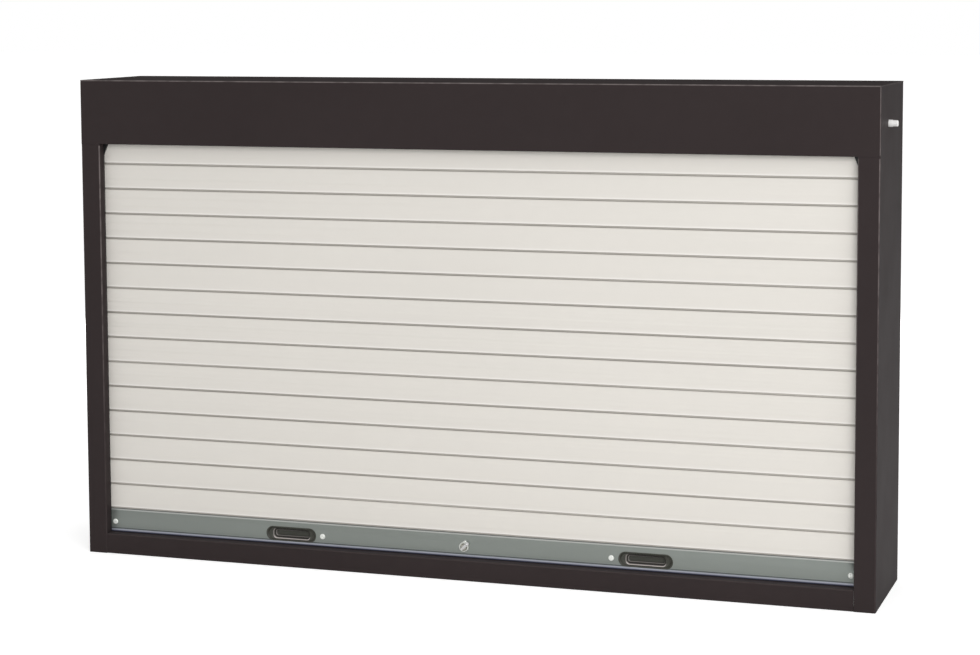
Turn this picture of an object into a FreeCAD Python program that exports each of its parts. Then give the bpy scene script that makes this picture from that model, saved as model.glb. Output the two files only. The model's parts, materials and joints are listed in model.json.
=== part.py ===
import FreeCAD, Part
import math
import os
import re
import Sketcher

# Roll front tool cabinet, millimetres.
# +X runs to the right, +Y to the back, +Z up. The origin is the middle of the underside.

SIZES = {
    # folded steel case
    "cabinet_width": 1500,
    "cabinet_height": 900,
    "cabinet_depth": 250,
    "header_height": 120,
    "stile_width": 38,
    "sill_height": 38,
    "sheet_gauge": 1.5,
    "bend_radius": 2.5,
    "inner_bend": 1.0,
    "hem_height": 14,
    "seam_gap": 0.2,
    "flange_width": 20,
    "base_return": 30,
    "wall_hole": 9,
    "wall_hole_reach": 600,
    "wall_hole_low": 68,
    "wall_hole_high": 738,
    # perforated tool panel
    "panel_gauge": 1.2,
    "panel_setback": 24,
    "panel_low": 46,
    "panel_high": 762,
    "panel_margin": 20,
    "perforation_side": 10,
    "perforation_pitch": 38,
    "perforation_low": 96,
    "access_hole": 22,
    "panel_seam": 1,
    "panel_screw_edge": 27.5,
    "spacer_diameter": 12,
    "spacer_bore": 5,
    # shutter curtain
    "curtain_recess": 20,
    "slat_count": 15,
    "slat_thickness": 8,
    "slat_wall": 1.2,
    "slat_gap": 0.8,
    "slat_bevel": 0.8,
    "groove_height": 3,
    "groove_depth": 2.5,
    "hook_setback": 5,
    "tongue_width": 2.4,
    "tongue_height": 5.4,
    "head_width": 3.6,
    "head_height": 1.4,
    "hook_clearance": 0.4,
    "curtain_tuck": 8,
    # guides
    "running_gap": 0.3,
    "fixing_play": 0.4,
    "press_play": 0.1,
    "liner_thickness": 2.5,
    "liner_web": 1.0,
    "rail_gauge": 1.2,
    "end_gap": 0.8,
    "guide_drop": 45,
    "mouth_reach": 8.7,
    "mouth_drop": 22,
    # bottom bar
    "bar_rise": 45,
    "bar_wall": 1.6,
    "bar_face_setback": 0.8,
    "bar_top_lip": 3,
    "bar_low_lip": 4.5,
    "bar_groove": 2,
    "seal_height": 1.2,
    "seal_stem": 2.6,
    "seal_depth": 4,
    "seal_edge": 1,
    "cap_thickness": 3.5,
    "latch_rise": 19.5,
    # finger cups
    "cup_reach": 340,
    "cup_length": 100,
    "cup_height": 27,
    "cup_rim": 2.5,
    "cup_wall": 2,
    "cup_dish_depth": 4,
    "pocket_length": 76,
    "pocket_height": 15,
    "pocket_depth": 12,
    "cup_floor": 1.2,
    # pan screws in the bar
    "bar_screw_edge": 8,
    "bar_screw_gap": 63,
    "screw_head": 9,
    "screw_height": 2.2,
    "screw_shank": 4,
    "screw_length": 6,
    # lock
    "bezel_diameter": 18.5,
    "bezel_height": 1.6,
    "lock_diameter": 14,
    "lock_length": 12.5,
    "plug_diameter": 10,
    "keyway_width": 1.6,
    "keyway_length": 6,
    "nut_width": 19,
    "nut_height": 3.5,
    "cam_thickness": 3,
    "cam_hub": 13,
    "cam_tail": 6,
    "hook_width": 5,
    "hook_arm": 6,
    "keeper_thickness": 2,
    "keeper_clearance": 0.6,
    "keeper_width": 20,
    "keeper_middle": 17,
    "hook_lead": 22,
    "hook_sweep": 66,
    "hook_arm_lean": 6,
    "cam_screw_head": 9,
    "cam_screw_height": 2.4,
    "cam_screw_shank": 3,
    "cam_screw_length": 8,
    "cover_width": 4.4,
    "cover_thickness": 1.0,
    "cover_pivot": 8,
    "cover_tip": 4.6,
    "cover_pin": 2.2,
    # roller
    "barrel_setback": 86,
    "barrel_drop": 67,
    "barrel_diameter": 50,
    "barrel_wall": 1.5,
    "axle_diameter": 11,
    "axle_stand": 16.5,
    "axle_chamfer": 2,
    "collar_diameter": 12.5,
    "collar_length": 7,
    "bracket_size": 56,
    "bracket_thickness": 3,
    "hub_diameter": 20,
    "hub_length": 7,
    "cap_flange": 2,
    "cap_plug": 18,
    "spring_start": 600,
    "spring_length": 200,
    "spring_radius": 11,
    "spring_wire": 2.6,
    "spring_pitch": 10,
    "anchor_length": 15,
    "strap_reach": 520,
    "strap_width": 40,
    "strap_thickness": 1,
    "strap_wrap": 110,
    "keeper_rivet_reach": 18,
    "rivet_head": 5,
    "rivet_height": 1.2,
    "rivet_shank": 2.6,
    "rivet_length": 3.2,
}

doc = FreeCAD.newDocument("roll_front_tool_cabinet")
sheet = doc.addObject("Spreadsheet::Sheet", "Sizes")
for row, (alias, size) in enumerate(SIZES.items(), start=1):
    sheet.set(f"A{row}", alias)
    sheet.set(f"B{row}", str(size))
    sheet.setAlias(f"B{row}", alias)
doc.recompute()

# Places worked out from the sizes, as formulas.

FRONT = "(-cabinet_depth / 2)"
BACK = "(cabinet_depth / 2)"
HALF = "(cabinet_width / 2)"
INNER_HALF = "(cabinet_width / 2 - sheet_gauge)"
OPENING_HALF = "(cabinet_width / 2 - stile_width)"
LINTEL = "(cabinet_height - header_height)"
ROOF_UNDER = "(cabinet_height - sheet_gauge)"
FLOOR_UNDER = "(sill_height - sheet_gauge)"
SHEET_FRONT = f"({FRONT} + sheet_gauge)"
BACK_SHEET_REAR = f"({BACK} - sheet_gauge)"
BACK_SHEET_FRONT = f"({BACK} - 2 * sheet_gauge)"

CURTAIN_FRONT = f"({FRONT} + curtain_recess)"
CURTAIN_BACK = f"({CURTAIN_FRONT} + slat_thickness)"
LINER_FRONT = f"({CURTAIN_FRONT} - running_gap - liner_thickness)"
LINER_BACK = f"({CURTAIN_BACK} + running_gap + liner_thickness)"
RAIL_FRONT = f"({LINER_FRONT} - rail_gauge)"
RAIL_BACK = f"({LINER_BACK} + rail_gauge)"
RAIL_TOP = f"({LINTEL} - guide_drop)"
CURTAIN_HALF = f"({INNER_HALF} - rail_gauge - liner_web - end_gap)"

BAR_BOTTOM = "(sill_height + running_gap + seal_height)"
BAR_TOP = "(sill_height + bar_rise)"
BAR_FACE = f"({CURTAIN_FRONT} + bar_face_setback)"
LATCH = "(sill_height + latch_rise)"
SLAT_PITCH = f"(({LINTEL} + curtain_tuck - {BAR_TOP}) / slat_count)"
BAR_SCREWS = (f"({OPENING_HALF} - bar_screw_edge)", "(cup_reach - bar_screw_gap)")

PANEL_FRONT = f"({BACK_SHEET_FRONT} - panel_setback)"
PANEL_WIDTH = f"((2 * {INNER_HALF} - 2 * panel_margin - 2 * panel_seam) / 3)"
PANEL_SCREW = f"({PANEL_WIDTH} / 2 - panel_screw_edge)"

BARREL_Y = f"({FRONT} + barrel_setback)"
BARREL_Z = "(cabinet_height - barrel_drop)"
BRACKET_INNER = f"({INNER_HALF} - bracket_thickness)"
HUB_INNER = f"({BRACKET_INNER} - hub_length)"
TUBE_HALF = f"({HUB_INNER} - running_gap - cap_flange)"
AXLE_BORE = "(axle_diameter + 2 * running_gap)"
CAM_FRONT = f"({BAR_FACE} + lock_length + running_gap)"
CAM_BACK = f"({CAM_FRONT} + cam_thickness)"
CAM_MIDDLE = f"({CAM_FRONT} + cam_thickness / 2)"
KEEPER_RIVETS = ("keeper_middle - keeper_rivet_reach", "keeper_middle + keeper_rivet_reach")
COVER_X = "(cover_pivot / sqrt(2))"
COVER_Z = f"({LATCH} + cover_pivot / sqrt(2))"

X_WAY = FreeCAD.Vector(1, 0, 0)
Y_WAY = FreeCAD.Vector(0, 1, 0)
Z_WAY = FreeCAD.Vector(0, 0, 1)
TURNS = {
    "up": FreeCAD.Rotation(),
    "down": FreeCAD.Rotation(X_WAY, 180),
    "right": FreeCAD.Rotation(Y_WAY, 90),
    "left": FreeCAD.Rotation(Y_WAY, -90),
    "back": FreeCAD.Rotation(X_WAY, -90),
    "front": FreeCAD.Rotation(X_WAY, 90),
}
SIDES = {"left": "-", "right": "+"}

nodes = []


def value(alias):
    """The number held by one cell of the sheet."""
    return float(getattr(sheet, alias))


def bind(item, prop, formula):
    """Tie a property to a formula on the names of the sheet."""
    formula = re.sub(r"[a-z]+(_[a-z]+)+", lambda word: f"Sizes.{word.group()}", str(formula))
    item.setExpression(prop, formula)


def place(item, x="0", y="0", z="0", turn=None):
    """Set a piece down at a point given by three formulas, after a fixed turn."""
    item.Placement = FreeCAD.Placement(FreeCAD.Vector(), turn or FreeCAD.Rotation())
    for axis, formula in zip("xyz", (x, y, z)):
        bind(item, f"Placement.Base.{axis}", formula)
    return item


def node(name, item):
    """Give a finished sub-part its own name."""
    item.Label = name
    nodes.append(item)
    return item


def span(side, inner, outer):
    """The low and high formulas between two distances from the middle plane, on one side of it."""
    if side == "left":
        return f"-({outer})", f"-({inner})"
    return inner, outer


def box(name, x, y, z):
    """A block between two formulas along each axis."""
    block = doc.addObject("Part::Box", name)
    for measure, (low, high) in zip(("Length", "Width", "Height"), (x, y, z)):
        bind(block, measure, f"({high}) - ({low})")
    return place(block, x[0], y[0], z[0])


def rod(name, diameter, length, start, way):
    """A round bar from a start point, pointing one way."""
    bar = doc.addObject("Part::Cylinder", name)
    bind(bar, "Radius", f"({diameter}) / 2")
    bind(bar, "Height", length)
    return place(bar, *start, turn=TURNS[way])


def taper(name, base, top, length, start, way):
    """A tapered round bar from a start point, pointing one way."""
    bar = doc.addObject("Part::Cone", name)
    bind(bar, "Radius1", f"({base}) / 2")
    bind(bar, "Radius2", f"({top}) / 2")
    bind(bar, "Height", length)
    return place(bar, *start, turn=TURNS[way])


def fuse(name, pieces):
    """One solid made from several that meet."""
    whole = doc.addObject("Part::MultiFuse", name)
    whole.Shapes = pieces
    whole.Refine = True
    return whole


def group(name, pieces):
    """Separate solids kept together."""
    bundle = doc.addObject("Part::Compound", name)
    bundle.Links = pieces
    return bundle


def cut(name, base, *tools):
    """A solid with the given tools taken out of it."""
    rest = doc.addObject("Part::Cut", name)
    rest.Base = base
    rest.Tool = tools[0] if len(tools) == 1 else fuse(f"{name}_tools", list(tools))
    return rest


def sketch_on(body, role, name):
    """A sketch on one of the body's own origin planes."""
    plane = next(item for item in body.Origin.OriginFeatures if item.Role == role)
    drawing = body.newObject("Sketcher::SketchObject", name)
    drawing.AttachmentSupport = [(plane, "")]
    drawing.MapMode = "FlatFace"
    return drawing


def draw(drawing, outline):
    """A closed outline of straight lines, each corner held from the origin by two formulas."""
    first = drawing.GeometryCount
    count = len(outline)
    steps = [2 * math.pi * k / count for k in range(count)]
    guess = [FreeCAD.Vector(math.cos(step), math.sin(step), 0) for step in steps]
    drawing.addGeometry(
        [Part.LineSegment(guess[k], guess[(k + 1) % count]) for k in range(count)], False
    )
    for k, corner in enumerate(outline):
        following = first + (k + 1) % count
        drawing.addConstraint(Sketcher.Constraint("Coincident", first + k, 2, following, 1))
        for way, formula, start in zip(("DistanceX", "DistanceY"), corner, guess[k]):
            held = drawing.addConstraint(Sketcher.Constraint(way, -1, 1, first + k, 1, start))
            bind(drawing, f"Constraints[{held}]", formula)


def extrusion(name, role, outlines, length, start):
    """A straight section: closed outlines on an origin plane, padded along its normal."""
    body = doc.addObject("PartDesign::Body", name)
    drawing = sketch_on(body, role, f"{name}_section")
    for outline in outlines:
        draw(drawing, outline)
    pad = body.newObject("PartDesign::Pad", f"{name}_pad")
    pad.Profile = drawing
    bind(pad, "Length", length)
    place(body, *start)
    return body


def bend(body, corners, radius):
    """Round the long edges of the extrusion that run through the given corners of its section."""
    doc.recompute()
    drawing = body.Group[0]
    normal = drawing.Placement.Rotation.multVec(Z_WAY)
    points = [drawing.Placement.multVec(drawing.Geometry[k].StartPoint) for k in corners]
    solid = body.Tip
    chosen = []
    for number, edge in enumerate(solid.Shape.Edges, start=1):
        foot = edge.Vertexes[0].Point
        along = edge.Vertexes[-1].Point - foot
        straight = along.cross(normal).Length < 1e-6 * along.Length
        if straight and min((point - foot).cross(normal).Length for point in points) < 1e-4:
            chosen.append(f"Edge{number}")
    rounded = body.newObject("PartDesign::Fillet", f"{body.Name}_bend_{len(body.Group)}")
    rounded.Base = (solid, chosen)
    bind(rounded, "Radius", radius)
    return body


def stadium(name, x, z, length, height, y):
    """A long block with half-round ends, lying across the front, between two depths."""
    reach = f"(({length}) - ({height})) / 2"
    middle = box(f"{name}_middle", (f"{x} - {reach}", f"{x} + {reach}"), y,
                 (f"{z} - ({height}) / 2", f"{z} + ({height}) / 2"))
    ends = [
        rod(f"{name}_end", height, f"({y[1]}) - ({y[0]})", (f"{x} {sign} {reach}", y[0], z), "back")
        for sign in "+-"
    ]
    return fuse(name, [middle, *ends])


def headed(name, kind, point, way):
    """A domed fixing: its head stands on a surface point and its shank goes in behind."""
    x, y, z = point
    step = {"right": 1, "back": 1, "up": 1, "left": -1, "front": -1, "down": -1}[way]

    def along(distance):
        moved = f"+ ({distance}) * {step}"
        if way in ("left", "right"):
            return f"{x} {moved}", y, z
        if way in ("front", "back"):
            return x, f"{y} {moved}", z
        return x, y, f"{z} {moved}"

    rim = f"{kind}_height / 2"
    return fuse(name, [
        rod(f"{name}_shank", f"{kind}_shank", f"{kind}_length + {kind}_height / 4",
            along(f"-{kind}_length"), way),
        rod(f"{name}_rim", f"{kind}_head", rim, point, way),
        taper(f"{name}_crown", f"{kind}_head", f"{kind}_head * 0.6", rim, along(rim), way),
    ])


def side_panels():
    """Each side is one folded sheet: web, front stile, inward return and rear flange."""
    for side, sign in SIDES.items():
        flange_edge = f"({INNER_HALF} - flange_width)"
        return_back = f"({OPENING_HALF} + sheet_gauge)"
        reach = [
            (HALF, FRONT),
            (OPENING_HALF, FRONT),
            (OPENING_HALF, RAIL_FRONT),
            (return_back, RAIL_FRONT),
            (return_back, SHEET_FRONT),
            (INNER_HALF, SHEET_FRONT),
            (INNER_HALF, BACK_SHEET_REAR),
            (flange_edge, BACK_SHEET_REAR),
            (flange_edge, BACK),
            (HALF, BACK),
        ]
        section = [(f"{sign}{x}", y) for x, y in reach]
        web = extrusion(f"side_sheet_{side}", "XY_Plane", [section], ROOF_UNDER, ("0", "0", "0"))
        bend(web, (0, 1, 9), "bend_radius")
        bend(web, (4, 5), "inner_bend")
        above = (f"{LINTEL} - seam_gap", "cabinet_height")
        header_notch = box(f"header_notch_{side}", span(side, OPENING_HALF, HALF),
                           (FRONT, SHEET_FRONT), above)
        return_notch = box(f"return_notch_{side}", span(side, OPENING_HALF, INNER_HALF),
                           (SHEET_FRONT, RAIL_FRONT), above)
        axle_hole = rod(f"axle_hole_{side}", AXLE_BORE, "sheet_gauge * 3",
                        (f"{sign}{HALF} - sheet_gauge * 1.5", BARREL_Y, BARREL_Z), "right")
        name = f"side_panel_{side}"
        node(name, cut(name, web, header_notch, return_notch, axle_hole))


def header_panel():
    """Fascia, roof, rear flange and the hemmed lip over the curtain, folded from one sheet."""
    lip_top = f"({LINTEL} + sheet_gauge)"
    hem_top = f"({LINTEL} + hem_height)"
    hem_front = f"({RAIL_FRONT} - sheet_gauge)"
    flange_low = "(cabinet_height - flange_width)"
    flange_front = f"({BACK_SHEET_FRONT} - sheet_gauge)"
    section = [
        (FRONT, "cabinet_height"),
        (FRONT, LINTEL),
        (RAIL_FRONT, LINTEL),
        (RAIL_FRONT, hem_top),
        (hem_front, hem_top),
        (hem_front, lip_top),
        (SHEET_FRONT, lip_top),
        (SHEET_FRONT, ROOF_UNDER),
        (flange_front, ROOF_UNDER),
        (flange_front, flange_low),
        (BACK_SHEET_FRONT, flange_low),
        (BACK_SHEET_FRONT, ROOF_UNDER),
        (BACK, ROOF_UNDER),
        (BACK, "cabinet_height"),
    ]
    sheet_body = extrusion("header_sheet", "YZ_Plane", [section], "cabinet_width",
                           (f"-{HALF}", "0", "0"))
    bend(sheet_body, (0, 1, 2), "bend_radius")
    bend(sheet_body, (5, 6, 7), "inner_bend")
    flush = [
        box(f"header_flush_{side}", span(side, OPENING_HALF, INNER_HALF), (FRONT, SHEET_FRONT),
            (LINTEL, f"{LINTEL} + 2 * bend_radius"))
        for side in SIDES
    ]
    beyond = f"{HALF} + sheet_gauge"
    ends = [
        box(f"header_end_{side}", span(side, INNER_HALF, beyond),
            (f"{FRONT} - sheet_gauge", BACK), (f"{LINTEL} - sheet_gauge", ROOF_UNDER))
        for side in SIDES
    ]
    lips = [
        box(f"header_lip_{side}", span(side, OPENING_HALF, beyond), (SHEET_FRONT, RAIL_FRONT),
            (f"{LINTEL} - sheet_gauge", f"{hem_top} + sheet_gauge"))
        for side in SIDES
    ]
    corners = []
    for (side, sign), turn in zip(SIDES.items(), (180, 270)):
        corner = doc.addObject("Part::Cylinder", f"header_corner_{side}")
        corner.Angle = 90
        bind(corner, "Radius", "sheet_gauge")
        bind(corner, "Height", "header_height - bend_radius")
        corners.append(place(corner, f"{sign}{INNER_HALF}", SHEET_FRONT, LINTEL,
                             FreeCAD.Rotation(Z_WAY, turn)))
    whole = fuse("header_whole", [sheet_body, *flush])
    trimmed = cut("header_trimmed", whole, *ends, *lips)
    node("header_panel", fuse("header_panel", [trimmed, *corners]))


def hook_radii():
    """Inner and outer radius of the lock's hook, which passes under the floor and its keeper."""
    keeper_depth = "(latch_rise + sheet_gauge + keeper_thickness)"
    inner = f"(({keeper_depth} + keeper_clearance) / cos(hook_lead))"
    return inner, f"({inner} + hook_width)"


def floor_slot(name, y_margin, z):
    """The slot that the hook swings down through."""
    inner, outer = hook_radii()
    keeper_depth = "(latch_rise + sheet_gauge + keeper_thickness)"
    near = f"sqrt({inner} * {inner} - {keeper_depth} * {keeper_depth}) - keeper_clearance"
    far = f"sqrt({outer} * {outer} - latch_rise * latch_rise) + keeper_clearance"
    return box(name, (near, far), (f"{CAM_FRONT} - {y_margin}", f"{CAM_BACK} + {y_margin}"), z)


def bottom_panel():
    """Front sill, floor and rear drop, with a return along the underside front and rear."""
    rear_drop = f"({BACK_SHEET_FRONT} - sheet_gauge)"
    front_return = f"({SHEET_FRONT} + base_return)"
    rear_return = f"({rear_drop} - base_return)"
    section = [
        (FRONT, "0"),
        (front_return, "0"),
        (front_return, "sheet_gauge"),
        (SHEET_FRONT, "sheet_gauge"),
        (SHEET_FRONT, FLOOR_UNDER),
        (rear_drop, FLOOR_UNDER),
        (rear_drop, "sheet_gauge"),
        (rear_return, "sheet_gauge"),
        (rear_return, "0"),
        (BACK_SHEET_FRONT, "0"),
        (BACK_SHEET_FRONT, "sill_height"),
        (FRONT, "sill_height"),
    ]
    pan = extrusion("bottom_sheet", "YZ_Plane", [section], f"2 * {INNER_HALF}",
                    (f"-{INNER_HALF}", "0", "0"))
    bend(pan, (0, 9, 10, 11), "bend_radius")
    bend(pan, (3, 4, 5, 6), "inner_bend")
    corners = [
        box(f"sill_end_{side}", span(side, OPENING_HALF, HALF), (FRONT, RAIL_FRONT),
            ("-sheet_gauge", "sill_height + sheet_gauge"))
        for side in SIDES
    ]
    slot = floor_slot("floor_slot", "keeper_clearance",
                      (f"{FLOOR_UNDER} - sheet_gauge", "sill_height + sheet_gauge"))
    rivet_holes = [
        rod("keeper_rivet_hole", "rivet_shank + fixing_play", "sheet_gauge * 3",
            (x, CAM_MIDDLE, f"{FLOOR_UNDER} - sheet_gauge"), "up")
        for x in KEEPER_RIVETS
    ]
    node("bottom_panel", cut("bottom_panel", pan, *corners, slot, *rivet_holes))


def wall_places():
    """The four places where the cabinet is bolted to a wall."""
    return [
        (f"{sign}wall_hole_reach", height)
        for sign in SIDES.values()
        for height in ("wall_hole_low", "wall_hole_high")
    ]


def panel_middle(number):
    """The middle of one of the three tool panels, from -1 on the left to 1 on the right."""
    return f"({number} * ({PANEL_WIDTH} + panel_seam))"


def spacer_places(number):
    """The four places where one tool panel is screwed to its spacers."""
    return [
        (f"{panel_middle(number)} {sign} {PANEL_SCREW}", height)
        for sign in SIDES.values()
        for height in ("wall_hole_low", "wall_hole_high")
    ]


def back_panel():
    """A plain sheet behind everything, with four wall holes."""
    plate = box("back_sheet", (f"-{INNER_HALF}", INNER_HALF),
                (BACK_SHEET_FRONT, BACK_SHEET_REAR), ("0", ROOF_UNDER))
    holes = [
        rod("wall_hole_tool", "wall_hole", "sheet_gauge * 3",
            (x, f"{BACK_SHEET_FRONT} - sheet_gauge", z), "back")
        for x, z in wall_places()
    ]
    node("back_panel", cut("back_panel", plate, *holes))


def perforated_sheet(label, number, front, width):
    """A hanging sheet: square holes on a grid, fixing holes, and a flange back above and below.

    It is worked out from the sheet's numbers in one face, because a pattern of so many pockets
    takes minutes to rebuild.
    """
    low = value("panel_low")
    high = value("panel_high")
    gauge = value("panel_gauge")
    side = value("perforation_side")
    pitch = value("perforation_pitch")
    first = value("perforation_low")
    heights = (value("wall_hole_low"), value("wall_hole_high"))
    middle = number * (width + value("panel_seam"))
    bore = value("screw_shank") + value("fixing_play")
    reach = width / 2 - value("panel_screw_edge")
    columns = int((width - side) // pitch)
    rows = int((heights[1] - first) // pitch) + 1

    def rectangle(x, z, wide, tall):
        corners = [(x, z), (x + wide, z), (x + wide, z + tall), (x, z + tall), (x, z)]
        return Part.makePolygon([FreeCAD.Vector(a, front, b) for a, b in corners])

    def circle(x, z, diameter):
        return Part.Wire(Part.makeCircle(diameter / 2, FreeCAD.Vector(x, front, z), Y_WAY))

    wires = [rectangle(middle - width / 2, low, width, high - low)]
    for column in range(columns):
        x = middle + (column - (columns - 1) / 2) * pitch - side / 2
        wires += [rectangle(x, first + row * pitch - side / 2, side, side) for row in range(rows)]
    for z in heights:
        wires += [circle(middle + sign * reach, z, bore)
                  for sign in (-1, 1)]
        if number:
            wires.append(circle(number * value("wall_hole_reach"), z, value("access_hole")))
    plate = Part.makeFace(wires, "Part::FaceMakerBullseye").extrude(Y_WAY * gauge)
    flanges = [
        Part.makeBox(width, value("panel_setback"), gauge,
                     FreeCAD.Vector(middle - width / 2, front, z))
        for z in (low, high - gauge)
    ]
    panel = doc.addObject("Part::Feature", f"tool_panel_{label}")
    panel.Shape = plate.fuse(flanges).removeSplitter()
    panel.Placement = FreeCAD.Placement()
    node(f"tool_panel_{label}", panel)


def tool_panels():
    """Three perforated sheets side by side, each on four spacers."""
    rear = f"({PANEL_FRONT} + panel_gauge)"
    front = value("cabinet_depth") / 2 - 2 * value("sheet_gauge") - value("panel_setback")
    inner = value("cabinet_width") - 2 * value("sheet_gauge") - 2 * value("panel_margin")
    width = (inner - 2 * value("panel_seam")) / 3
    spacers = []
    screws = []
    for number, label in ((-1, "left"), (0, "centre"), (1, "right")):
        perforated_sheet(label, number, front, width)
        for x, z in spacer_places(number):
            sleeve = rod("spacer_sleeve", "spacer_diameter", f"{BACK_SHEET_FRONT} - {rear}",
                         (x, rear, z), "back")
            bore = rod("spacer_hole", "spacer_bore", f"{BACK_SHEET_FRONT} - {rear} + 2",
                       (x, f"{rear} - 1", z), "back")
            spacers.append(cut("spacer", sleeve, bore))
            screws.append(headed("panel_screw", "screw", (x, PANEL_FRONT, z), "front"))
    node("panel_spacers", group("panel_spacers", spacers))
    node("panel_screws", group("panel_screws", screws))


def guides():
    """On each side a steel channel, the slippery liner in it, and a wedge-shaped mouth on top."""
    liner_web_edge = f"({INNER_HALF} - rail_gauge - liner_web)"
    rail_web_edge = f"({INNER_HALF} - rail_gauge)"
    slot_front = f"({CURTAIN_FRONT} - running_gap)"
    slot_back = f"({CURTAIN_BACK} + running_gap)"
    rail = [
        (INNER_HALF, RAIL_FRONT),
        (OPENING_HALF, RAIL_FRONT),
        (OPENING_HALF, LINER_FRONT),
        (rail_web_edge, LINER_FRONT),
        (rail_web_edge, LINER_BACK),
        (OPENING_HALF, LINER_BACK),
        (OPENING_HALF, RAIL_BACK),
        (INNER_HALF, RAIL_BACK),
    ]
    liner = [
        (rail_web_edge, LINER_FRONT),
        (OPENING_HALF, LINER_FRONT),
        (OPENING_HALF, slot_front),
        (liner_web_edge, slot_front),
        (liner_web_edge, slot_back),
        (OPENING_HALF, slot_back),
        (OPENING_HALF, LINER_BACK),
        (rail_web_edge, LINER_BACK),
    ]
    tall = f"{RAIL_TOP} - sill_height"
    for side, sign in SIDES.items():
        for name, section in (("guide_rail", rail), ("guide_liner", liner)):
            sided = [(f"{sign}{x}", y) for x, y in section]
            node(f"{name}_{side}", extrusion(f"{name}_{side}", "XY_Plane", [sided], tall,
                                             ("0", "0", "sill_height")))
        mouth = [
            (INNER_HALF, RAIL_TOP),
            (OPENING_HALF, RAIL_TOP),
            (OPENING_HALF, f"{LINTEL} - mouth_drop"),
            (f"({OPENING_HALF} - mouth_reach)", LINTEL),
            (INNER_HALF, LINTEL),
        ]
        block = extrusion(f"mouth_block_{side}", "XZ_Plane", [[(f"{sign}{x}", z) for x, z in mouth]],
                          f"{RAIL_BACK} - {RAIL_FRONT}", ("0", RAIL_BACK, "0"))
        slot = box(f"mouth_slot_{side}",
                   span(side, f"{OPENING_HALF} - 2 * mouth_reach", liner_web_edge),
                   (slot_front, slot_back), (f"{RAIL_TOP} - mouth_drop", f"{LINTEL} + mouth_drop"))
        node(f"guide_mouth_{side}", cut(f"guide_mouth_{side}", block, slot))


def tongue(top, base):
    """The upper edge of a slat: a headed tongue, from its rear root to its front root."""
    neck = "tongue_width / 2"
    head = "head_width / 2"
    crown = f"{top} + tongue_height"
    under = f"{top} + tongue_height - head_height"
    return [
        (f"hook_setback + {neck}", base),
        (f"hook_setback + {neck}", under),
        (f"hook_setback + {head}", under),
        (f"hook_setback + {head}", crown),
        (f"hook_setback - {head}", crown),
        (f"hook_setback - {head}", under),
        (f"hook_setback - {neck}", under),
        (f"hook_setback - {neck}", base),
    ]


def slat_outlines():
    """The section of one slat: socket below, flat bevelled face, headed tongue above, hollow."""
    low = "slat_gap / 2"
    high = f"{SLAT_PITCH} - slat_gap / 2"
    mouth = "(tongue_width / 2 + hook_clearance)"
    chamber = "(head_width / 2 + hook_clearance)"
    chamber_low = "(tongue_height - head_height - hook_clearance)"
    chamber_high = "(tongue_height + hook_clearance)"
    outer = [
        ("groove_depth", low),
        (f"hook_setback - {mouth}", low),
        (f"hook_setback - {mouth}", chamber_low),
        (f"hook_setback - {chamber}", chamber_low),
        (f"hook_setback - {chamber}", chamber_high),
        (f"hook_setback + {chamber}", chamber_high),
        (f"hook_setback + {chamber}", chamber_low),
        (f"hook_setback + {mouth}", chamber_low),
        (f"hook_setback + {mouth}", low),
        ("slat_thickness", low),
        ("slat_thickness", high),
        *tongue(SLAT_PITCH, high),
        ("slat_bevel", high),
        ("0", f"{high} - slat_bevel"),
        ("0", "groove_height + slat_bevel"),
        ("slat_bevel", "groove_height"),
        ("groove_depth", "groove_height"),
    ]
    rear = "slat_thickness - slat_wall"
    floor = f"{chamber_high} + slat_wall"
    hollow = [
        ("slat_wall", floor),
        (rear, floor),
        (rear, f"{high} - slat_wall"),
        ("slat_wall", f"{high} - slat_wall"),
    ]
    return [outer, hollow]


def curtain():
    """The slats, numbered from the bottom bar upwards."""
    for k in range(int(value("slat_count"))):
        name = f"slat_{k + 1:02d}"
        node(name, extrusion(name, "YZ_Plane", slat_outlines(), f"2 * {CURTAIN_HALF}",
                             (f"-{CURTAIN_HALF}", CURTAIN_FRONT, f"{BAR_TOP} + {k} * {SLAT_PITCH}")))


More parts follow.
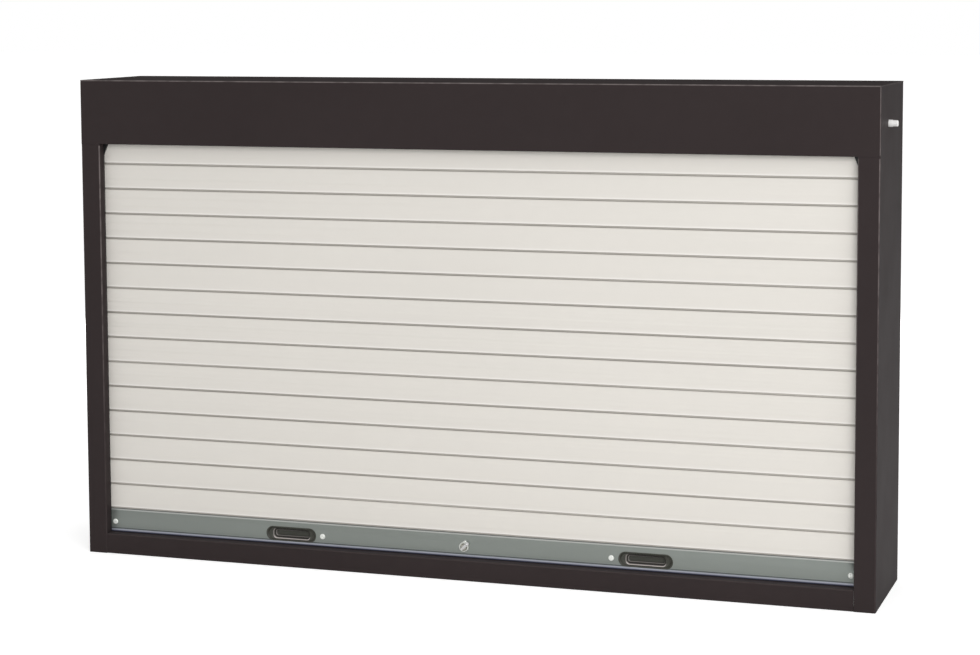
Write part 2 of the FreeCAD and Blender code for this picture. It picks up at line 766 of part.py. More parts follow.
def bottom_bar():
    """The hollow lifting bar with its seal, end caps and screws."""
    top = f"({BAR_TOP} - {BAR_BOTTOM})"
    high = f"{top} - slat_gap / 2"
    stem_front = "(slat_thickness / 2 - seal_stem / 2 - hook_clearance / 2)"
    stem_back = "(slat_thickness / 2 + seal_stem / 2 + hook_clearance / 2)"
    groove_top = "(bar_low_lip + bar_groove)"
    outer = [
        ("0", "0"),
        (stem_front, "0"),
        (stem_front, "seal_depth"),
        (stem_back, "seal_depth"),
        (stem_back, "0"),
        ("slat_thickness", "0"),
        ("slat_thickness", high),
        *tongue(top, high),
        ("0", high),
        ("0", f"{top} - bar_top_lip"),
        ("bar_face_setback", f"{top} - bar_top_lip"),
        ("bar_face_setback", groove_top),
        ("bar_face_setback + slat_bevel", groove_top),
        ("bar_face_setback + slat_bevel", "bar_low_lip"),
        ("0", "bar_low_lip"),
    ]
    front = "(bar_face_setback + bar_wall)"
    rear = "(slat_thickness - bar_wall)"
    floor = f"({groove_top} + bar_wall)"
    ceiling = f"({top} - slat_gap / 2 - bar_top_lip)"
    hollow = [(front, floor), (rear, floor), (rear, ceiling), (front, ceiling)]
    half = f"({CURTAIN_HALF} - cap_thickness)"
    profile = extrusion("bar_profile", "YZ_Plane", [outer, hollow], f"2 * {half}",
                        (f"-{half}", CURTAIN_FRONT, BAR_BOTTOM))
    before = f"{CURTAIN_FRONT} - slat_thickness"
    beyond = f"{CURTAIN_BACK} + slat_thickness"
    holes = [
        stadium(f"cup_hole_{side}", f"{sign}cup_reach", LATCH,
                "cup_length - 2 * cup_rim + 2 * running_gap",
                "cup_height - 2 * cup_rim + 2 * running_gap", (before, beyond))
        for side, sign in SIDES.items()
    ]
    holes.append(rod("lock_hole", "lock_diameter + running_gap", f"({beyond}) - ({before})",
                     ("0", before, LATCH), "back"))
    places = [(f"{sign}{reach}", BAR_FACE, LATCH) for sign in SIDES.values()
              for reach in BAR_SCREWS]
    holes += [
        rod("bar_screw_hole", "screw_shank + fixing_play", f"{CURTAIN_BACK} - bar_wall / 2 - ({before})",
            (x, before, z), "back")
        for x, _, z in places
    ]
    node("bottom_bar", cut("bottom_bar", profile, *holes))
    node("bar_screws", group("bar_screws", [headed("bar_screw", "screw", at, "front")
                                            for at in places]))
    stem = ("slat_thickness / 2 - seal_stem / 2", "slat_thickness / 2 + seal_stem / 2")
    seal = [
        ("seal_edge", "-seal_height"),
        ("slat_thickness - seal_edge", "-seal_height"),
        ("slat_thickness - seal_edge", "0"),
        (stem[1], "0"),
        (stem[1], "seal_depth - hook_clearance"),
        (stem[0], "seal_depth - hook_clearance"),
        (stem[0], "0"),
        ("seal_edge", "0"),
    ]
    node("bottom_seal", extrusion("bottom_seal", "YZ_Plane", [seal], f"2 * {half}",
                                  (f"-{half}", CURTAIN_FRONT, BAR_BOTTOM)))
    for side in SIDES:
        plate = box(f"cap_plate_{side}", span(side, half, CURTAIN_HALF),
                    (CURTAIN_FRONT, CURTAIN_BACK), (BAR_BOTTOM, f"{BAR_TOP} - slat_gap / 2"))
        plug = box(f"cap_plug_{side}", span(side, f"{half} - 4 * cap_thickness", half),
                   (f"{CURTAIN_FRONT} + {front} + running_gap",
                    f"{CURTAIN_FRONT} + {rear} - running_gap"),
                   (f"{BAR_BOTTOM} + {floor} + running_gap",
                    f"{BAR_BOTTOM} + {ceiling} - running_gap"))
        node(f"bar_end_cap_{side}", fuse(f"bar_end_cap_{side}", [plate, plug]))


def finger_cups():
    """Two dished finger cups let into the bar, each with a deeper rectangular pocket."""
    shell = ("cup_length - 2 * cup_rim", "cup_height - 2 * cup_rim")
    dish = ("cup_length - 2 * cup_rim - cup_wall * 1.5", "cup_height - 2 * cup_rim - cup_wall")
    for side, sign in SIDES.items():
        x = f"{sign}cup_reach"
        back = f"({BAR_FACE} + pocket_depth + cup_floor)"
        flange = stadium(f"cup_flange_{side}", x, LATCH, "cup_length", "cup_height",
                         (CURTAIN_FRONT, BAR_FACE))
        wall = stadium(f"cup_shell_{side}", x, LATCH, *shell, (BAR_FACE, back))
        hollow = stadium(f"cup_dish_{side}", x, LATCH, *dish,
                         (f"{CURTAIN_FRONT} - cup_wall", f"{BAR_FACE} + cup_dish_depth"))
        pocket = box(f"cup_pocket_{side}",
                     (f"{x} - pocket_length / 2", f"{x} + pocket_length / 2"),
                     (f"{CURTAIN_FRONT} - cup_wall", f"{BAR_FACE} + pocket_depth"),
                     (f"{LATCH} - pocket_height / 2", f"{LATCH} + pocket_height / 2"))
        body = fuse(f"cup_body_{side}", [flange, wall])
        name = f"finger_cup_{side}"
        node(name, cut(name, body, hollow, pocket))


def lock():
    """A cylinder lock whose hook swings down through the floor and under a keeper."""
    bezel_front = f"({BAR_FACE} - bezel_height)"
    body_back = f"({BAR_FACE} + lock_length)"
    centre = ("0", BAR_FACE, LATCH)
    bezel = rod("lock_bezel", "bezel_diameter", "bezel_height", ("0", bezel_front, LATCH), "back")
    barrel = rod("lock_barrel", "lock_diameter", "lock_length", centre, "back")
    bore = rod("lock_bore", "plug_diameter + running_gap * 2",
               "lock_length + bezel_height + 2 * running_gap",
               ("0", f"{bezel_front} - running_gap", LATCH), "back")
    pin_hole = rod("cover_pin_hole", "cover_pin + 2 * press_play", "bezel_height",
                   (COVER_X, bezel_front, COVER_Z), "back")
    node("lock_body", cut("lock_body", fuse("lock_shell", [bezel, barrel]), bore, pin_hole))

    hexagon = doc.addObject("Part::Prism", "nut_hexagon")
    hexagon.Polygon = 6
    bind(hexagon, "Circumradius", "nut_width / sqrt(3)")
    bind(hexagon, "Height", "nut_height")
    place(hexagon, "0", CURTAIN_BACK, LATCH, TURNS["back"])
    thread = rod("nut_bore", "lock_diameter + running_gap", "nut_height * 3",
                 ("0", f"{CURTAIN_BACK} - nut_height", LATCH), "back")
    node("lock_nut", cut("lock_nut", hexagon, thread))

    plug_front = f"({bezel_front} + running_gap * 2)"
    tail_half = "cam_tail / 2"
    plug = rod("plug_rod", "plug_diameter", f"{CAM_FRONT} - {plug_front}",
               ("0", plug_front, LATCH), "back")
    tail = box("plug_tail", (f"-{tail_half}", tail_half), (CAM_FRONT, CAM_BACK),
               (f"{LATCH} - {tail_half}", f"{LATCH} + {tail_half}"))
    keyway = doc.addObject("Part::Box", "keyway")
    bind(keyway, "Length", "keyway_length")
    bind(keyway, "Width", "lock_length * 0.6")
    bind(keyway, "Height", "keyway_width")
    slant = FreeCAD.Rotation(Y_WAY, -45)
    low = "(keyway_length - keyway_width) / 2 / sqrt(2)"
    high = "(keyway_length + keyway_width) / 2 / sqrt(2)"
    place(keyway, f"-{low}", f"{plug_front} - running_gap", f"{LATCH} - {high}", slant)
    screw_hole = rod("cam_screw_hole", "cam_screw_shank + fixing_play", "cam_screw_length + cam_thickness",
                     ("0", f"{CAM_BACK} - cam_screw_length - fixing_play", LATCH), "back")
    node("lock_plug", cut("lock_plug", fuse("plug_solid", [plug, tail]), keyway, screw_hole))

    inner, outer = hook_radii()
    turn = FreeCAD.Rotation(X_WAY, -90)
    sweep = value("hook_sweep")
    start = value("hook_lead") - sweep
    rings = []
    for label, radius, spread in (("outer", outer, 0), ("inner", inner, 2)):
        disc = doc.addObject("Part::Cylinder", f"hook_{label}")
        bind(disc, "Radius", radius)
        bind(disc, "Height", f"cam_thickness + {spread}")
        disc.Angle = 360 if spread else sweep
        place(disc, "0", f"{CAM_FRONT} - {spread / 2}", LATCH,
              turn.multiply(FreeCAD.Rotation(Z_WAY, start)))
        rings.append(disc)
    arc = cut("hook_arc", *rings)
    arm = doc.addObject("Part::Box", "hook_arm_bar")
    bind(arm, "Length", f"{inner} + hook_width / 2")
    bind(arm, "Width", "hook_arm")
    bind(arm, "Height", "cam_thickness")
    lean = math.radians(start + value("hook_arm_lean"))
    place(arm, f"hook_arm / 2 * {math.sin(lean)}", CAM_FRONT,
          f"{LATCH} + hook_arm / 2 * {math.cos(lean)}",
          turn.multiply(FreeCAD.Rotation(Z_WAY, math.degrees(lean))))
    hub = rod("cam_hub_disc", "cam_hub", "cam_thickness", ("0", CAM_FRONT, LATCH), "back")
    hole_half = "(cam_tail / 2 + running_gap / 2)"
    square = box("cam_square", (f"-{hole_half}", hole_half),
                 (f"{CAM_FRONT} - 1", f"{CAM_BACK} + 1"),
                 (f"{LATCH} - {hole_half}", f"{LATCH} + {hole_half}"))
    node("lock_cam", cut("lock_cam", fuse("cam_solid", [arc, arm, hub]), square))
    node("cam_screw", headed("cam_screw", "cam_screw", ("0", CAM_BACK, LATCH), "back"))

    keeper_low = f"({FLOOR_UNDER} - keeper_thickness)"
    margin = "(keeper_rivet_reach / 4)"
    plate = box("keeper_plate", (f"{KEEPER_RIVETS[0]} - {margin}", f"{KEEPER_RIVETS[1]} + {margin}"),
                (f"{CAM_MIDDLE} - keeper_width / 2", f"{CAM_MIDDLE} + keeper_width / 2"),
                (keeper_low, FLOOR_UNDER))
    slot = floor_slot("keeper_slot", "keeper_clearance",
                      (f"{keeper_low} - sheet_gauge", f"{FLOOR_UNDER} + sheet_gauge"))
    holes = [
        rod("keeper_hole", "rivet_shank + fixing_play", "keeper_thickness * 3",
            (x, CAM_MIDDLE, f"{keeper_low} - keeper_thickness"), "up")
        for x in KEEPER_RIVETS
    ]
    node("lock_keeper", cut("lock_keeper", plate, slot, *holes))
    rivets = [headed("keeper_rivet", "rivet", (x, CAM_MIDDLE, "sill_height"), "up")
              for x in KEEPER_RIVETS]
    node("keeper_rivets", group("keeper_rivets", rivets))

    reach = "(cover_pivot + cover_tip)"
    blade = doc.addObject("Part::Box", "cover_blade")
    bind(blade, "Length", reach)
    bind(blade, "Width", "cover_thickness")
    bind(blade, "Height", "cover_width")
    cover_front = f"({bezel_front} - running_gap - cover_thickness)"
    tip = "cover_tip / sqrt(2)"
    half = "cover_width / 2 / sqrt(2)"
    place(blade, f"-{tip} + {half}", cover_front, f"{LATCH} - {tip} - {half}", slant)
    ends = [
        rod("cover_eye", "cover_width * 1.3", "cover_thickness", (COVER_X, cover_front, COVER_Z),
            "back"),
        rod("cover_end", "cover_width", "cover_thickness",
            (f"-{tip}", cover_front, f"{LATCH} - {tip}"), "back"),
    ]
    eye_hole = rod("cover_eye_hole", "cover_pin + 2 * press_play", "cover_thickness * 3",
                   (COVER_X, f"{cover_front} - cover_thickness", COVER_Z), "back")
    node("keyhole_cover", cut("keyhole_cover", fuse("cover_plate", [blade, *ends]), eye_hole))
    pin_back = f"({BAR_FACE} - running_gap)"
    pin = rod("cover_pin_rod", "cover_pin", f"{pin_back} - {cover_front}",
              (COVER_X, cover_front, COVER_Z), "back")
    head = rod("cover_pin_head", "cover_pin * 1.8", "cover_thickness * 0.8",
               (COVER_X, f"{cover_front} - cover_thickness * 0.8 - press_play", COVER_Z), "back")
    neck = rod("cover_pin_neck", "cover_pin", "2 * press_play",
               (COVER_X, f"{cover_front} - 1.5 * press_play", COVER_Z), "back")
    node("cover_pin", fuse("cover_pin", [pin, neck, head]))


def roller():
    """The spring roller that winds the curtain, on a fixed axle through both sides."""
    half = f"({HALF} + axle_stand)"
    axle_length = f"2 * {half} - 2 * axle_chamfer"
    axle = fuse("axle_bar", [
        rod("axle_rod", "axle_diameter", axle_length,
            (f"-{half} + axle_chamfer", BARREL_Y, BARREL_Z), "right"),
        taper("axle_nose_right", "axle_diameter", "axle_diameter - 2 * axle_chamfer * 0.7",
              "axle_chamfer", (f"{half} - axle_chamfer", BARREL_Y, BARREL_Z), "right"),
        taper("axle_nose_left", "axle_diameter", "axle_diameter - 2 * axle_chamfer * 0.7",
              "axle_chamfer", (f"-{half} + axle_chamfer", BARREL_Y, BARREL_Z), "left"),
    ])
    node("roller_axle", axle)

    tube = rod("tube_outside", "barrel_diameter", f"2 * {TUBE_HALF}",
               (f"-{TUBE_HALF}", BARREL_Y, BARREL_Z), "right")
    tube_bore = rod("tube_inside", "barrel_diameter - 2 * barrel_wall", f"2 * {HALF}",
                    (f"-{HALF}", BARREL_Y, BARREL_Z), "right")
    node("roller_tube", cut("roller_tube", tube, tube_bore))

    for side, sign in SIDES.items():
        outward = side
        inward = "right" if side == "left" else "left"
        at = (f"{sign}{TUBE_HALF}", BARREL_Y, BARREL_Z)
        flange = rod(f"cap_flange_{side}", "barrel_diameter", "cap_flange", at, outward)
        plug = rod(f"roller_plug_{side}", "barrel_diameter - 2 * barrel_wall - running_gap",
                   "cap_plug", at, inward)
        bore = rod(f"cap_bore_{side}", AXLE_BORE, "4 * cap_plug",
                   (f"{sign}{TUBE_HALF} - 2 * cap_plug", BARREL_Y, BARREL_Z), "right")
        name = f"roller_cap_{side}"
        node(name, cut(name, fuse(f"cap_solid_{side}", [flange, plug]), bore))

        plate = box(f"bracket_plate_{side}", span(side, BRACKET_INNER, INNER_HALF),
                    (f"{BARREL_Y} - bracket_size / 2", f"{BARREL_Y} + bracket_size / 2"),
                    (f"{BARREL_Z} - bracket_size / 2", f"{BARREL_Z} + bracket_size / 2"))
        hub = rod(f"bracket_hub_{side}", "hub_diameter", "hub_length",
                  (f"{sign}{BRACKET_INNER}", BARREL_Y, BARREL_Z), inward)
        hub_bore = rod(f"bracket_bore_{side}", "axle_diameter + press_play", "8 * hub_length",
                       (f"{sign}{BRACKET_INNER} - 4 * hub_length", BARREL_Y, BARREL_Z), "right")
        name = f"axle_bracket_{side}"
        node(name, cut(name, fuse(f"bracket_solid_{side}", [plate, hub]), hub_bore))

        ring = rod(f"collar_ring_{side}", "collar_diameter", "collar_length",
                   (f"{sign}{HALF}", BARREL_Y, BARREL_Z), outward)
        ring_bore = rod(f"collar_bore_{side}", "axle_diameter + press_play", "4 * collar_length",
                        (f"{sign}{HALF} - 2 * collar_length", BARREL_Y, BARREL_Z), "right")
        name = f"axle_collar_{side}"
        node(name, cut(name, ring, ring_bore))


def spring():
    """The counterbalance spring, from a collar fixed on the axle to a disc fixed in the tube."""
    helix = doc.addObject("Part::Helix", "spring_line")
    bind(helix, "Pitch", "spring_pitch")
    bind(helix, "Height", "spring_length")
    bind(helix, "Radius", "spring_radius")
    section = doc.addObject("Part::Circle", "spring_section")
    bind(section, "Radius", "spring_wire / 2")
    place(section, "spring_radius", "0", "0", TURNS["front"])
    wire = doc.addObject("Part::Sweep", "torsion_spring")
    wire.Sections = [section]
    wire.Spine = (helix, ["Edge1"])
    wire.Solid = True
    wire.Frenet = True
    place(wire, "-spring_start", BARREL_Y, BARREL_Z, TURNS["right"])
    node("torsion_spring", wire)

    seat = "(spring_wire / 2 + running_gap)"
    anchor = rod("anchor_ring", "2 * spring_radius + 2 * spring_wire", "anchor_length",
                 (f"-spring_start - {seat} - anchor_length", BARREL_Y, BARREL_Z), "right")
    anchor_bore = rod("anchor_bore", "axle_diameter + press_play", "anchor_length * 3",
                      (f"-spring_start - {seat} - 2 * anchor_length", BARREL_Y, BARREL_Z), "right")
    node("spring_anchor", cut("spring_anchor", anchor, anchor_bore))
    disc = rod("spring_disc_ring", "barrel_diameter - 2 * barrel_wall - running_gap",
               "anchor_length", (f"-spring_start + spring_length + {seat}", BARREL_Y, BARREL_Z),
               "right")
    disc_bore = rod("spring_disc_bore", AXLE_BORE, "anchor_length * 3",
                    (f"-spring_start + spring_length + {seat} - anchor_length", BARREL_Y, BARREL_Z),
                    "right")
    node("spring_disc", cut("spring_disc", disc, disc_bore))


def straps():
    """Three flat straps from the top slat, up and over the roller."""
    thickness = value("strap_thickness")
    gap = value("running_gap")
    centre = FreeCAD.Vector(0, value("barrel_setback") - value("cabinet_depth") / 2,
                            value("cabinet_height") - value("barrel_drop"))
    top = (value("cabinet_height") - value("header_height") + value("curtain_tuck")
           + value("tongue_height") + gap)
    hook_y = (value("curtain_recess") - value("cabinet_depth") / 2 + value("hook_setback"))
    foot = FreeCAD.Vector(0, hook_y, top)
    inner = value("barrel_diameter") / 2 + gap
    middle = inner + thickness / 2
    away = foot - centre
    leave = math.atan2(away.z, away.y) - math.acos(middle / away.Length)
    wrap = math.radians(value("strap_wrap"))

    def on_roller(radius, angle):
        return centre + FreeCAD.Vector(0, math.cos(angle), math.sin(angle)) * radius

    outer = inner + thickness
    pull = on_roller(middle, leave) - foot
    side = pull.cross(X_WAY).normalize() * (thickness / 2)
    if (foot + side - centre).Length > (foot - side - centre).Length:
        side = side * -1
    under = foot + side
    over = foot * 2 - under
    edges = [
        Part.makeLine(under, on_roller(inner, leave)),
        Part.Arc(on_roller(inner, leave), on_roller(inner, leave - wrap / 2),
                 on_roller(inner, leave - wrap)).toShape(),
        Part.makeLine(on_roller(inner, leave - wrap), on_roller(outer, leave - wrap)),
        Part.Arc(on_roller(outer, leave - wrap), on_roller(outer, leave - wrap / 2),
                 on_roller(outer, leave)).toShape(),
        Part.makeLine(on_roller(outer, leave), over),
        Part.makeLine(over, under),
    ]
    face = Part.Face(Part.Wire(edges))
    width = value("strap_width")
    reach = value("strap_reach")
    bands = []
    for x in (-reach, 0, reach):
        band = face.copy()
        band.translate(FreeCAD.Vector(x - width / 2, 0, 0))
        bands.append(band.extrude(FreeCAD.Vector(width, 0, 0)))
    strap = doc.addObject("Part::Feature", "curtain_straps")
    strap.Shape = Part.makeCompound(bands)
    strap.Placement = FreeCAD.Placement()
    node("curtain_straps", strap)


def export():
    """Check every object and sub-part, then write each sub-part to its own file."""
    doc.recompute()
    for item in doc.Objects:
        if {"Invalid", "Error"} & set(item.State):
            raise RuntimeError(f"{item.Name} failed: {item.State}")
    for item in nodes:
        if item.Shape.isNull() or not item.Shape.isValid() or not item.Shape.Solids:
            raise RuntimeError(f"{item.Label} has no valid solid")
    os.makedirs("parts", exist_ok=True)
    for item in nodes:
        item.Shape.exportStep(f"parts/{item.Label}.step")
        print(f"{item.Label}: {len(item.Shape.Solids)} solid(s), {item.Shape.Volume / 1000:.1f} cm3")


side_panels()
header_panel()
bottom_panel()
back_panel()
guides()
curtain()
bottom_bar()
finger_cups()
lock()
roller()
spring()
straps()
tool_panels()
export()
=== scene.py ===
import json
import math

import bmesh
import bpy
import numpy as np
from mathutils import Matrix, Vector

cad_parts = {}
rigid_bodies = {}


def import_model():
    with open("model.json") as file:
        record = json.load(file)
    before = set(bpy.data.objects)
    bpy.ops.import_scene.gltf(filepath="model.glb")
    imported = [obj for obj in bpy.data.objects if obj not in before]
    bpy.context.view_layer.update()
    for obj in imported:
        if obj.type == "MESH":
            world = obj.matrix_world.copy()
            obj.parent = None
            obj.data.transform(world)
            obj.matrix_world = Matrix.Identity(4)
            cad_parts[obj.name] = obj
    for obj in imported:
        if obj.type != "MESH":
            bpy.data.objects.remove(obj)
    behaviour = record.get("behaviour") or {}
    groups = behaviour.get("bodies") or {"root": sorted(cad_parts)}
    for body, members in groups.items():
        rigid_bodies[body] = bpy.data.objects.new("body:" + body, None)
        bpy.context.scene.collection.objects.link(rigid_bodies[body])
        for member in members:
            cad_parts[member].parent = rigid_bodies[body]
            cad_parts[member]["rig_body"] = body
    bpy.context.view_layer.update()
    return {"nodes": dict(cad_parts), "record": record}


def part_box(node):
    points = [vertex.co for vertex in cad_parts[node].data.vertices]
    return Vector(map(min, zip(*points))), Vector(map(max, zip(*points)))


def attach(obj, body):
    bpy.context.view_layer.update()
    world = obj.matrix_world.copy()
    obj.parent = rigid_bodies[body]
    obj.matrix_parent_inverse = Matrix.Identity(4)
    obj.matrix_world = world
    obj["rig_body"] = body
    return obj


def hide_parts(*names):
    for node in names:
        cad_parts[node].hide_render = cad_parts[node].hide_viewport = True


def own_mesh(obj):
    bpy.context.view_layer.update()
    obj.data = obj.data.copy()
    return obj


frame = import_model()

MM = 0.001
SLATS = sorted(name for name in frame["nodes"] if name.startswith("slat_"))
SLOT_OF = {part["node"]: part["material_slot"] for part in frame["record"]["subparts"]}
SLAT_PITCH = 47.0  # from one slat to the next
SLAT_PLAY = 0.4  # how far a slat's foot and shoulder stand inside its share of the pitch
HEAD_HEIGHT, HEAD_RADIUS = 2.2, 4.5  # of the CAD screws


# Shapes. Sizes are in millimetres until a mesh is made.


def low_high(node):
    """The lowest and highest corner of a CAD node in millimetres."""
    low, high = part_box(node)
    return np.array(low) / MM, np.array(high) / MM


def squares(rows, columns):
    """Corner numbers of a grid of points closed sideways: square (i, j) joins row i to row i + 1
    and column j to column j + 1, counted round."""
    i = np.arange(rows - 1)[:, None] * columns
    j = np.arange(columns)[None, :]
    after = (j + 1) % columns
    return np.stack([i + j, i + after, i + columns + after, i + columns + j], -1).reshape(-1, 4)


def closed_shell(rings):
    """A closed shell from rings of points (rows, columns, 3): a grid between the rings and one
    flat face over the first and the last."""
    rows, columns, _ = rings.shape
    faces = squares(rows, columns).tolist()
    faces.append(list(range(columns))[::-1])
    faces.append(list(range((rows - 1) * columns, rows * columns)))
    return rings.reshape(-1, 3), faces


def make_piece(name, shells, body, material, stands_for=(), sharp=35.0, uv=None,
               marks=None):
    """One mesh from closed shells, its faces turned outwards and smooth up to the sharp angle.
    Marks are named values for its points, which a finish may read as attributes."""
    points = np.concatenate([part[0] for part in shells])
    starts = np.cumsum([0] + [len(part[0]) for part in shells[:-1]])
    faces = [[int(start + k) for k in face]
             for start, part in zip(starts, shells) for face in part[1]]
    mesh = bpy.data.meshes.new(name)
    mesh.from_pydata((points * MM).tolist(), [], faces)
    work = bmesh.new()
    work.from_mesh(mesh)
    bmesh.ops.recalc_face_normals(work, faces=work.faces)
    work.to_mesh(mesh)
    work.free()
    mesh.shade_smooth()
    mesh.set_sharp_from_angle(angle=math.radians(sharp))
    if uv is not None:
        layer = mesh.uv_layers.new(name="Surface")
        corner = np.zeros(len(mesh.loops), int)
        mesh.loops.foreach_get("vertex_index", corner)
        layer.data.foreach_set("uv", uv[corner].astype(np.float32).ravel())
    for label, values in (marks or {}).items():
        mark = mesh.attributes.new(label, "FLOAT", "POINT")
        mark.data.foreach_set("value", np.asarray(values, np.float32).ravel())
    piece = bpy.data.objects.new(name, mesh)
    bpy.context.scene.collection.objects.link(piece)
    piece.data.materials.append(material)
    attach(piece, body)
    if stands_for:
        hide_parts(*stands_for)
    return piece


def rounded(outline, radii, steps=4):
    """An outline (n, 2) with round corners. Each corner P between its neighbours gives way to the
    circular arc that touches both sides: the quadratic curve through A, P and B, where A and B lie
    on the sides at radius / tan(half the corner), with weight sin(half the corner) at P."""
    corner = np.asarray(outline, float)
    before = np.roll(corner, 1, 0) - corner
    after = np.roll(corner, -1, 0) - corner
    reach = np.minimum(np.linalg.norm(before, axis=1), np.linalg.norm(after, axis=1))
    u = before / np.linalg.norm(before, axis=1)[:, None]
    v = after / np.linalg.norm(after, axis=1)[:, None]
    half = np.arccos(np.clip((u * v).sum(1), -1, 1)) / 2
    touch = np.minimum(np.broadcast_to(radii, len(corner)) / np.tan(half), reach * 0.49)[:, None]
    t = np.linspace(0, 1, steps + 1)[None, :, None]
    weight = np.sin(half)[:, None, None]
    a = (corner + u * touch)[:, None]
    b = (corner + v * touch)[:, None]
    mixed = (1 - t) ** 2 * a + 2 * t * (1 - t) * weight * corner[:, None] + t**2 * b
    return (mixed / ((1 - t) ** 2 + 2 * t * (1 - t) * weight + t**2)).reshape(-1, 2)


def along_x(section, stations, scales=None, centre=(0, 0)):
    """Rings of a section (m, 2) in y and z, set at the stations along X. A scale below 1 draws a
    ring in towards the centre, which eases the end."""
    stations = np.asarray(stations, float)
    scales = np.ones(len(stations)) if scales is None else np.asarray(scales, float)
    middle = np.asarray(centre, float)
    flat = middle + (section[None] - middle) * scales[:, None, None]
    x = np.broadcast_to(stations[:, None, None], flat.shape[:2] + (1,))
    return np.concatenate([x, flat], -1)


def turned(profile, centre, axis="y", count=48):
    """Rings of a turned shape: a profile of (radius, distance) carried round the axis, so a point
    is centre + distance along the axis + radius * (cos a, sin a) across it."""
    profile = np.asarray(profile, float)
    a = np.arange(count) * 2 * math.pi / count
    radius, distance = profile[:, 0, None], profile[:, 1, None] + np.zeros(count)
    across, up = radius * np.cos(a), radius * np.sin(a)
    parts = (across, distance, up) if axis == "y" else (distance, across, up)
    return np.stack(parts, -1) + np.asarray(centre, float)


def round_box(length, height, radius, per_corner=12):
    """A ring (n, 2) round a box with round corners: each quarter arc of the given radius stands on
    its own corner's centre, and the straight sides lie between the arcs."""
    a = (np.linspace(0, math.pi / 2, per_corner)[None] + np.arange(4)[:, None] * math.pi / 2)
    sign_x = np.array([1, -1, -1, 1])[:, None]
    sign_z = np.array([1, 1, -1, -1])[:, None]
    x = sign_x * (length / 2 - radius) + radius * np.cos(a)
    z = sign_z * (height / 2 - radius) + radius * np.sin(a)
    return np.stack([x, z], -1).reshape(-1, 2)


def open_ring(rings):
    """A closed shell from rings whose last ring lies on the first, such as a turned tube."""
    rows, columns, _ = rings.shape
    quads = squares(rows, columns)
    last = quads >= (rows - 1) * columns
    return rings[:-1].reshape(-1, 3), np.where(last, quads - (rows - 1) * columns, quads).tolist()


def teardrop(big_centre, small_centre, big, small, count=56):
    """A ring (n, 2) round two circles and the two lines that touch both: the point for angle a is
    its circle's centre plus its radius along a, with the big circle for angles that face it."""
    way = np.asarray(big_centre) - np.asarray(small_centre)
    length = np.linalg.norm(way)
    towards = math.atan2(way[1], way[0])
    spread = math.pi / 2 + math.asin((big - small) / length)
    a = np.concatenate([towards + np.linspace(-spread, spread, count // 2),
                        towards + np.linspace(spread, 2 * math.pi - spread, count // 2)])
    near = np.arange(count) < count // 2
    centre = np.where(near[:, None], big_centre, small_centre)
    radius = np.where(near, big, small)[:, None]
    return centre + radius * np.stack([np.cos(a), np.sin(a)], -1)


def eased_copy(node, width, finish=None):
    """A CAD node's own shape with its doubles merged, its flat triangles joined and its edges
    eased by a bevel of that width."""
    sharp = math.radians(30)
    mesh = frame["nodes"][node].data.copy()
    mesh.name = f"{node}_eased"
    work = bmesh.new()
    work.from_mesh(mesh)
    bmesh.ops.remove_doubles(work, verts=work.verts, dist=2e-6)
    bmesh.ops.dissolve_limit(work, angle_limit=math.radians(0.3), verts=work.verts,
                             edges=work.edges)
    work.to_mesh(mesh)
    work.free()
    mesh.shade_smooth()
    mesh.set_sharp_from_angle(angle=sharp)
    piece = bpy.data.objects.new(f"{node}_eased", mesh)
    bpy.context.scene.collection.objects.link(piece)
    bevel = piece.modifiers.new("eased_edges", "BEVEL")
    bevel.width = width * MM
    bevel.segments = 2
    bevel.limit_method = "ANGLE"
    bevel.angle_limit = sharp
    bevel.harden_normals = True
    mesh.materials.clear()
    mesh.materials.append(finish or FINISHES[SLOT_OF[node]])
    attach(piece, frame["nodes"][node]["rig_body"])
    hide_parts(node)
    return piece


# Effects shared by the finishes, as node groups.


def effect(name, inputs, outputs):
    """A shader node group with named inputs (label, kind, start value) and named outputs
    (label, kind)."""
    tree = bpy.data.node_groups.new(name, "ShaderNodeTree")
    for label, kind, start in inputs:
        socket = tree.interface.new_socket(label, in_out="INPUT", socket_type=f"NodeSocket{kind}")
        if start is not None:
            socket.default_value = start
    for label, kind in outputs:
        tree.interface.new_socket(label, in_out="OUTPUT", socket_type=f"NodeSocket{kind}")
    return tree, tree.nodes.new("NodeGroupInput"), tree.nodes.new("NodeGroupOutput")


def add(tree, kind, settings=None, **sockets):
    """One node with its settings, and its sockets given a value or linked from another socket."""
    node = tree.nodes.new(f"ShaderNode{kind}")
    for key, setting in (settings or {}).items():
        setattr(node, key, setting)
    for key, given in sockets.items():
        label = key.replace("_", " ")
        found = [s for s in node.inputs if s.name == label or s.identifier == key]
        target = (next((s for s in found if s.enabled), found[0]) if found
                  else node.inputs[int(key[1:])])
        if isinstance(given, bpy.types.NodeSocket):
            tree.links.new(given, target)
        else:
            target.default_value = given
    return node


def maths(tree, operation, first, second=0.0, third=0.0):
    """The result of one piece of arithmetic on values or sockets."""
    return add(tree, "Math", {"operation": operation}, n0=first, n1=second, n2=third).outputs[0]


def blend_colours(tree, share, first, second, mode="MIX"):
    """Two colours mixed by a share, as a socket."""
    node = tree.nodes.new("ShaderNodeMix")
    node.data_type = "RGBA"
    node.blend_type = mode
    for index, given in ((0, share), (6, first), (7, second)):
        if isinstance(given, bpy.types.NodeSocket):
            tree.links.new(given, node.inputs[index])
        else:
            node.inputs[index].default_value = given
    return node.outputs[2]


def ranged(tree, given, low, high, to_low=0.0, to_high=1.0):
    """A value carried from one range to another and held inside it."""
    node = add(tree, "MapRange", {"clamp": True}, Value=given)
    for index, number in zip(range(1, 5), (low, high, to_low, to_high)):
        if isinstance(number, bpy.types.NodeSocket):
            tree.links.new(number, node.inputs[index])
        else:
            node.inputs[index].default_value = number
    return node.outputs[0]


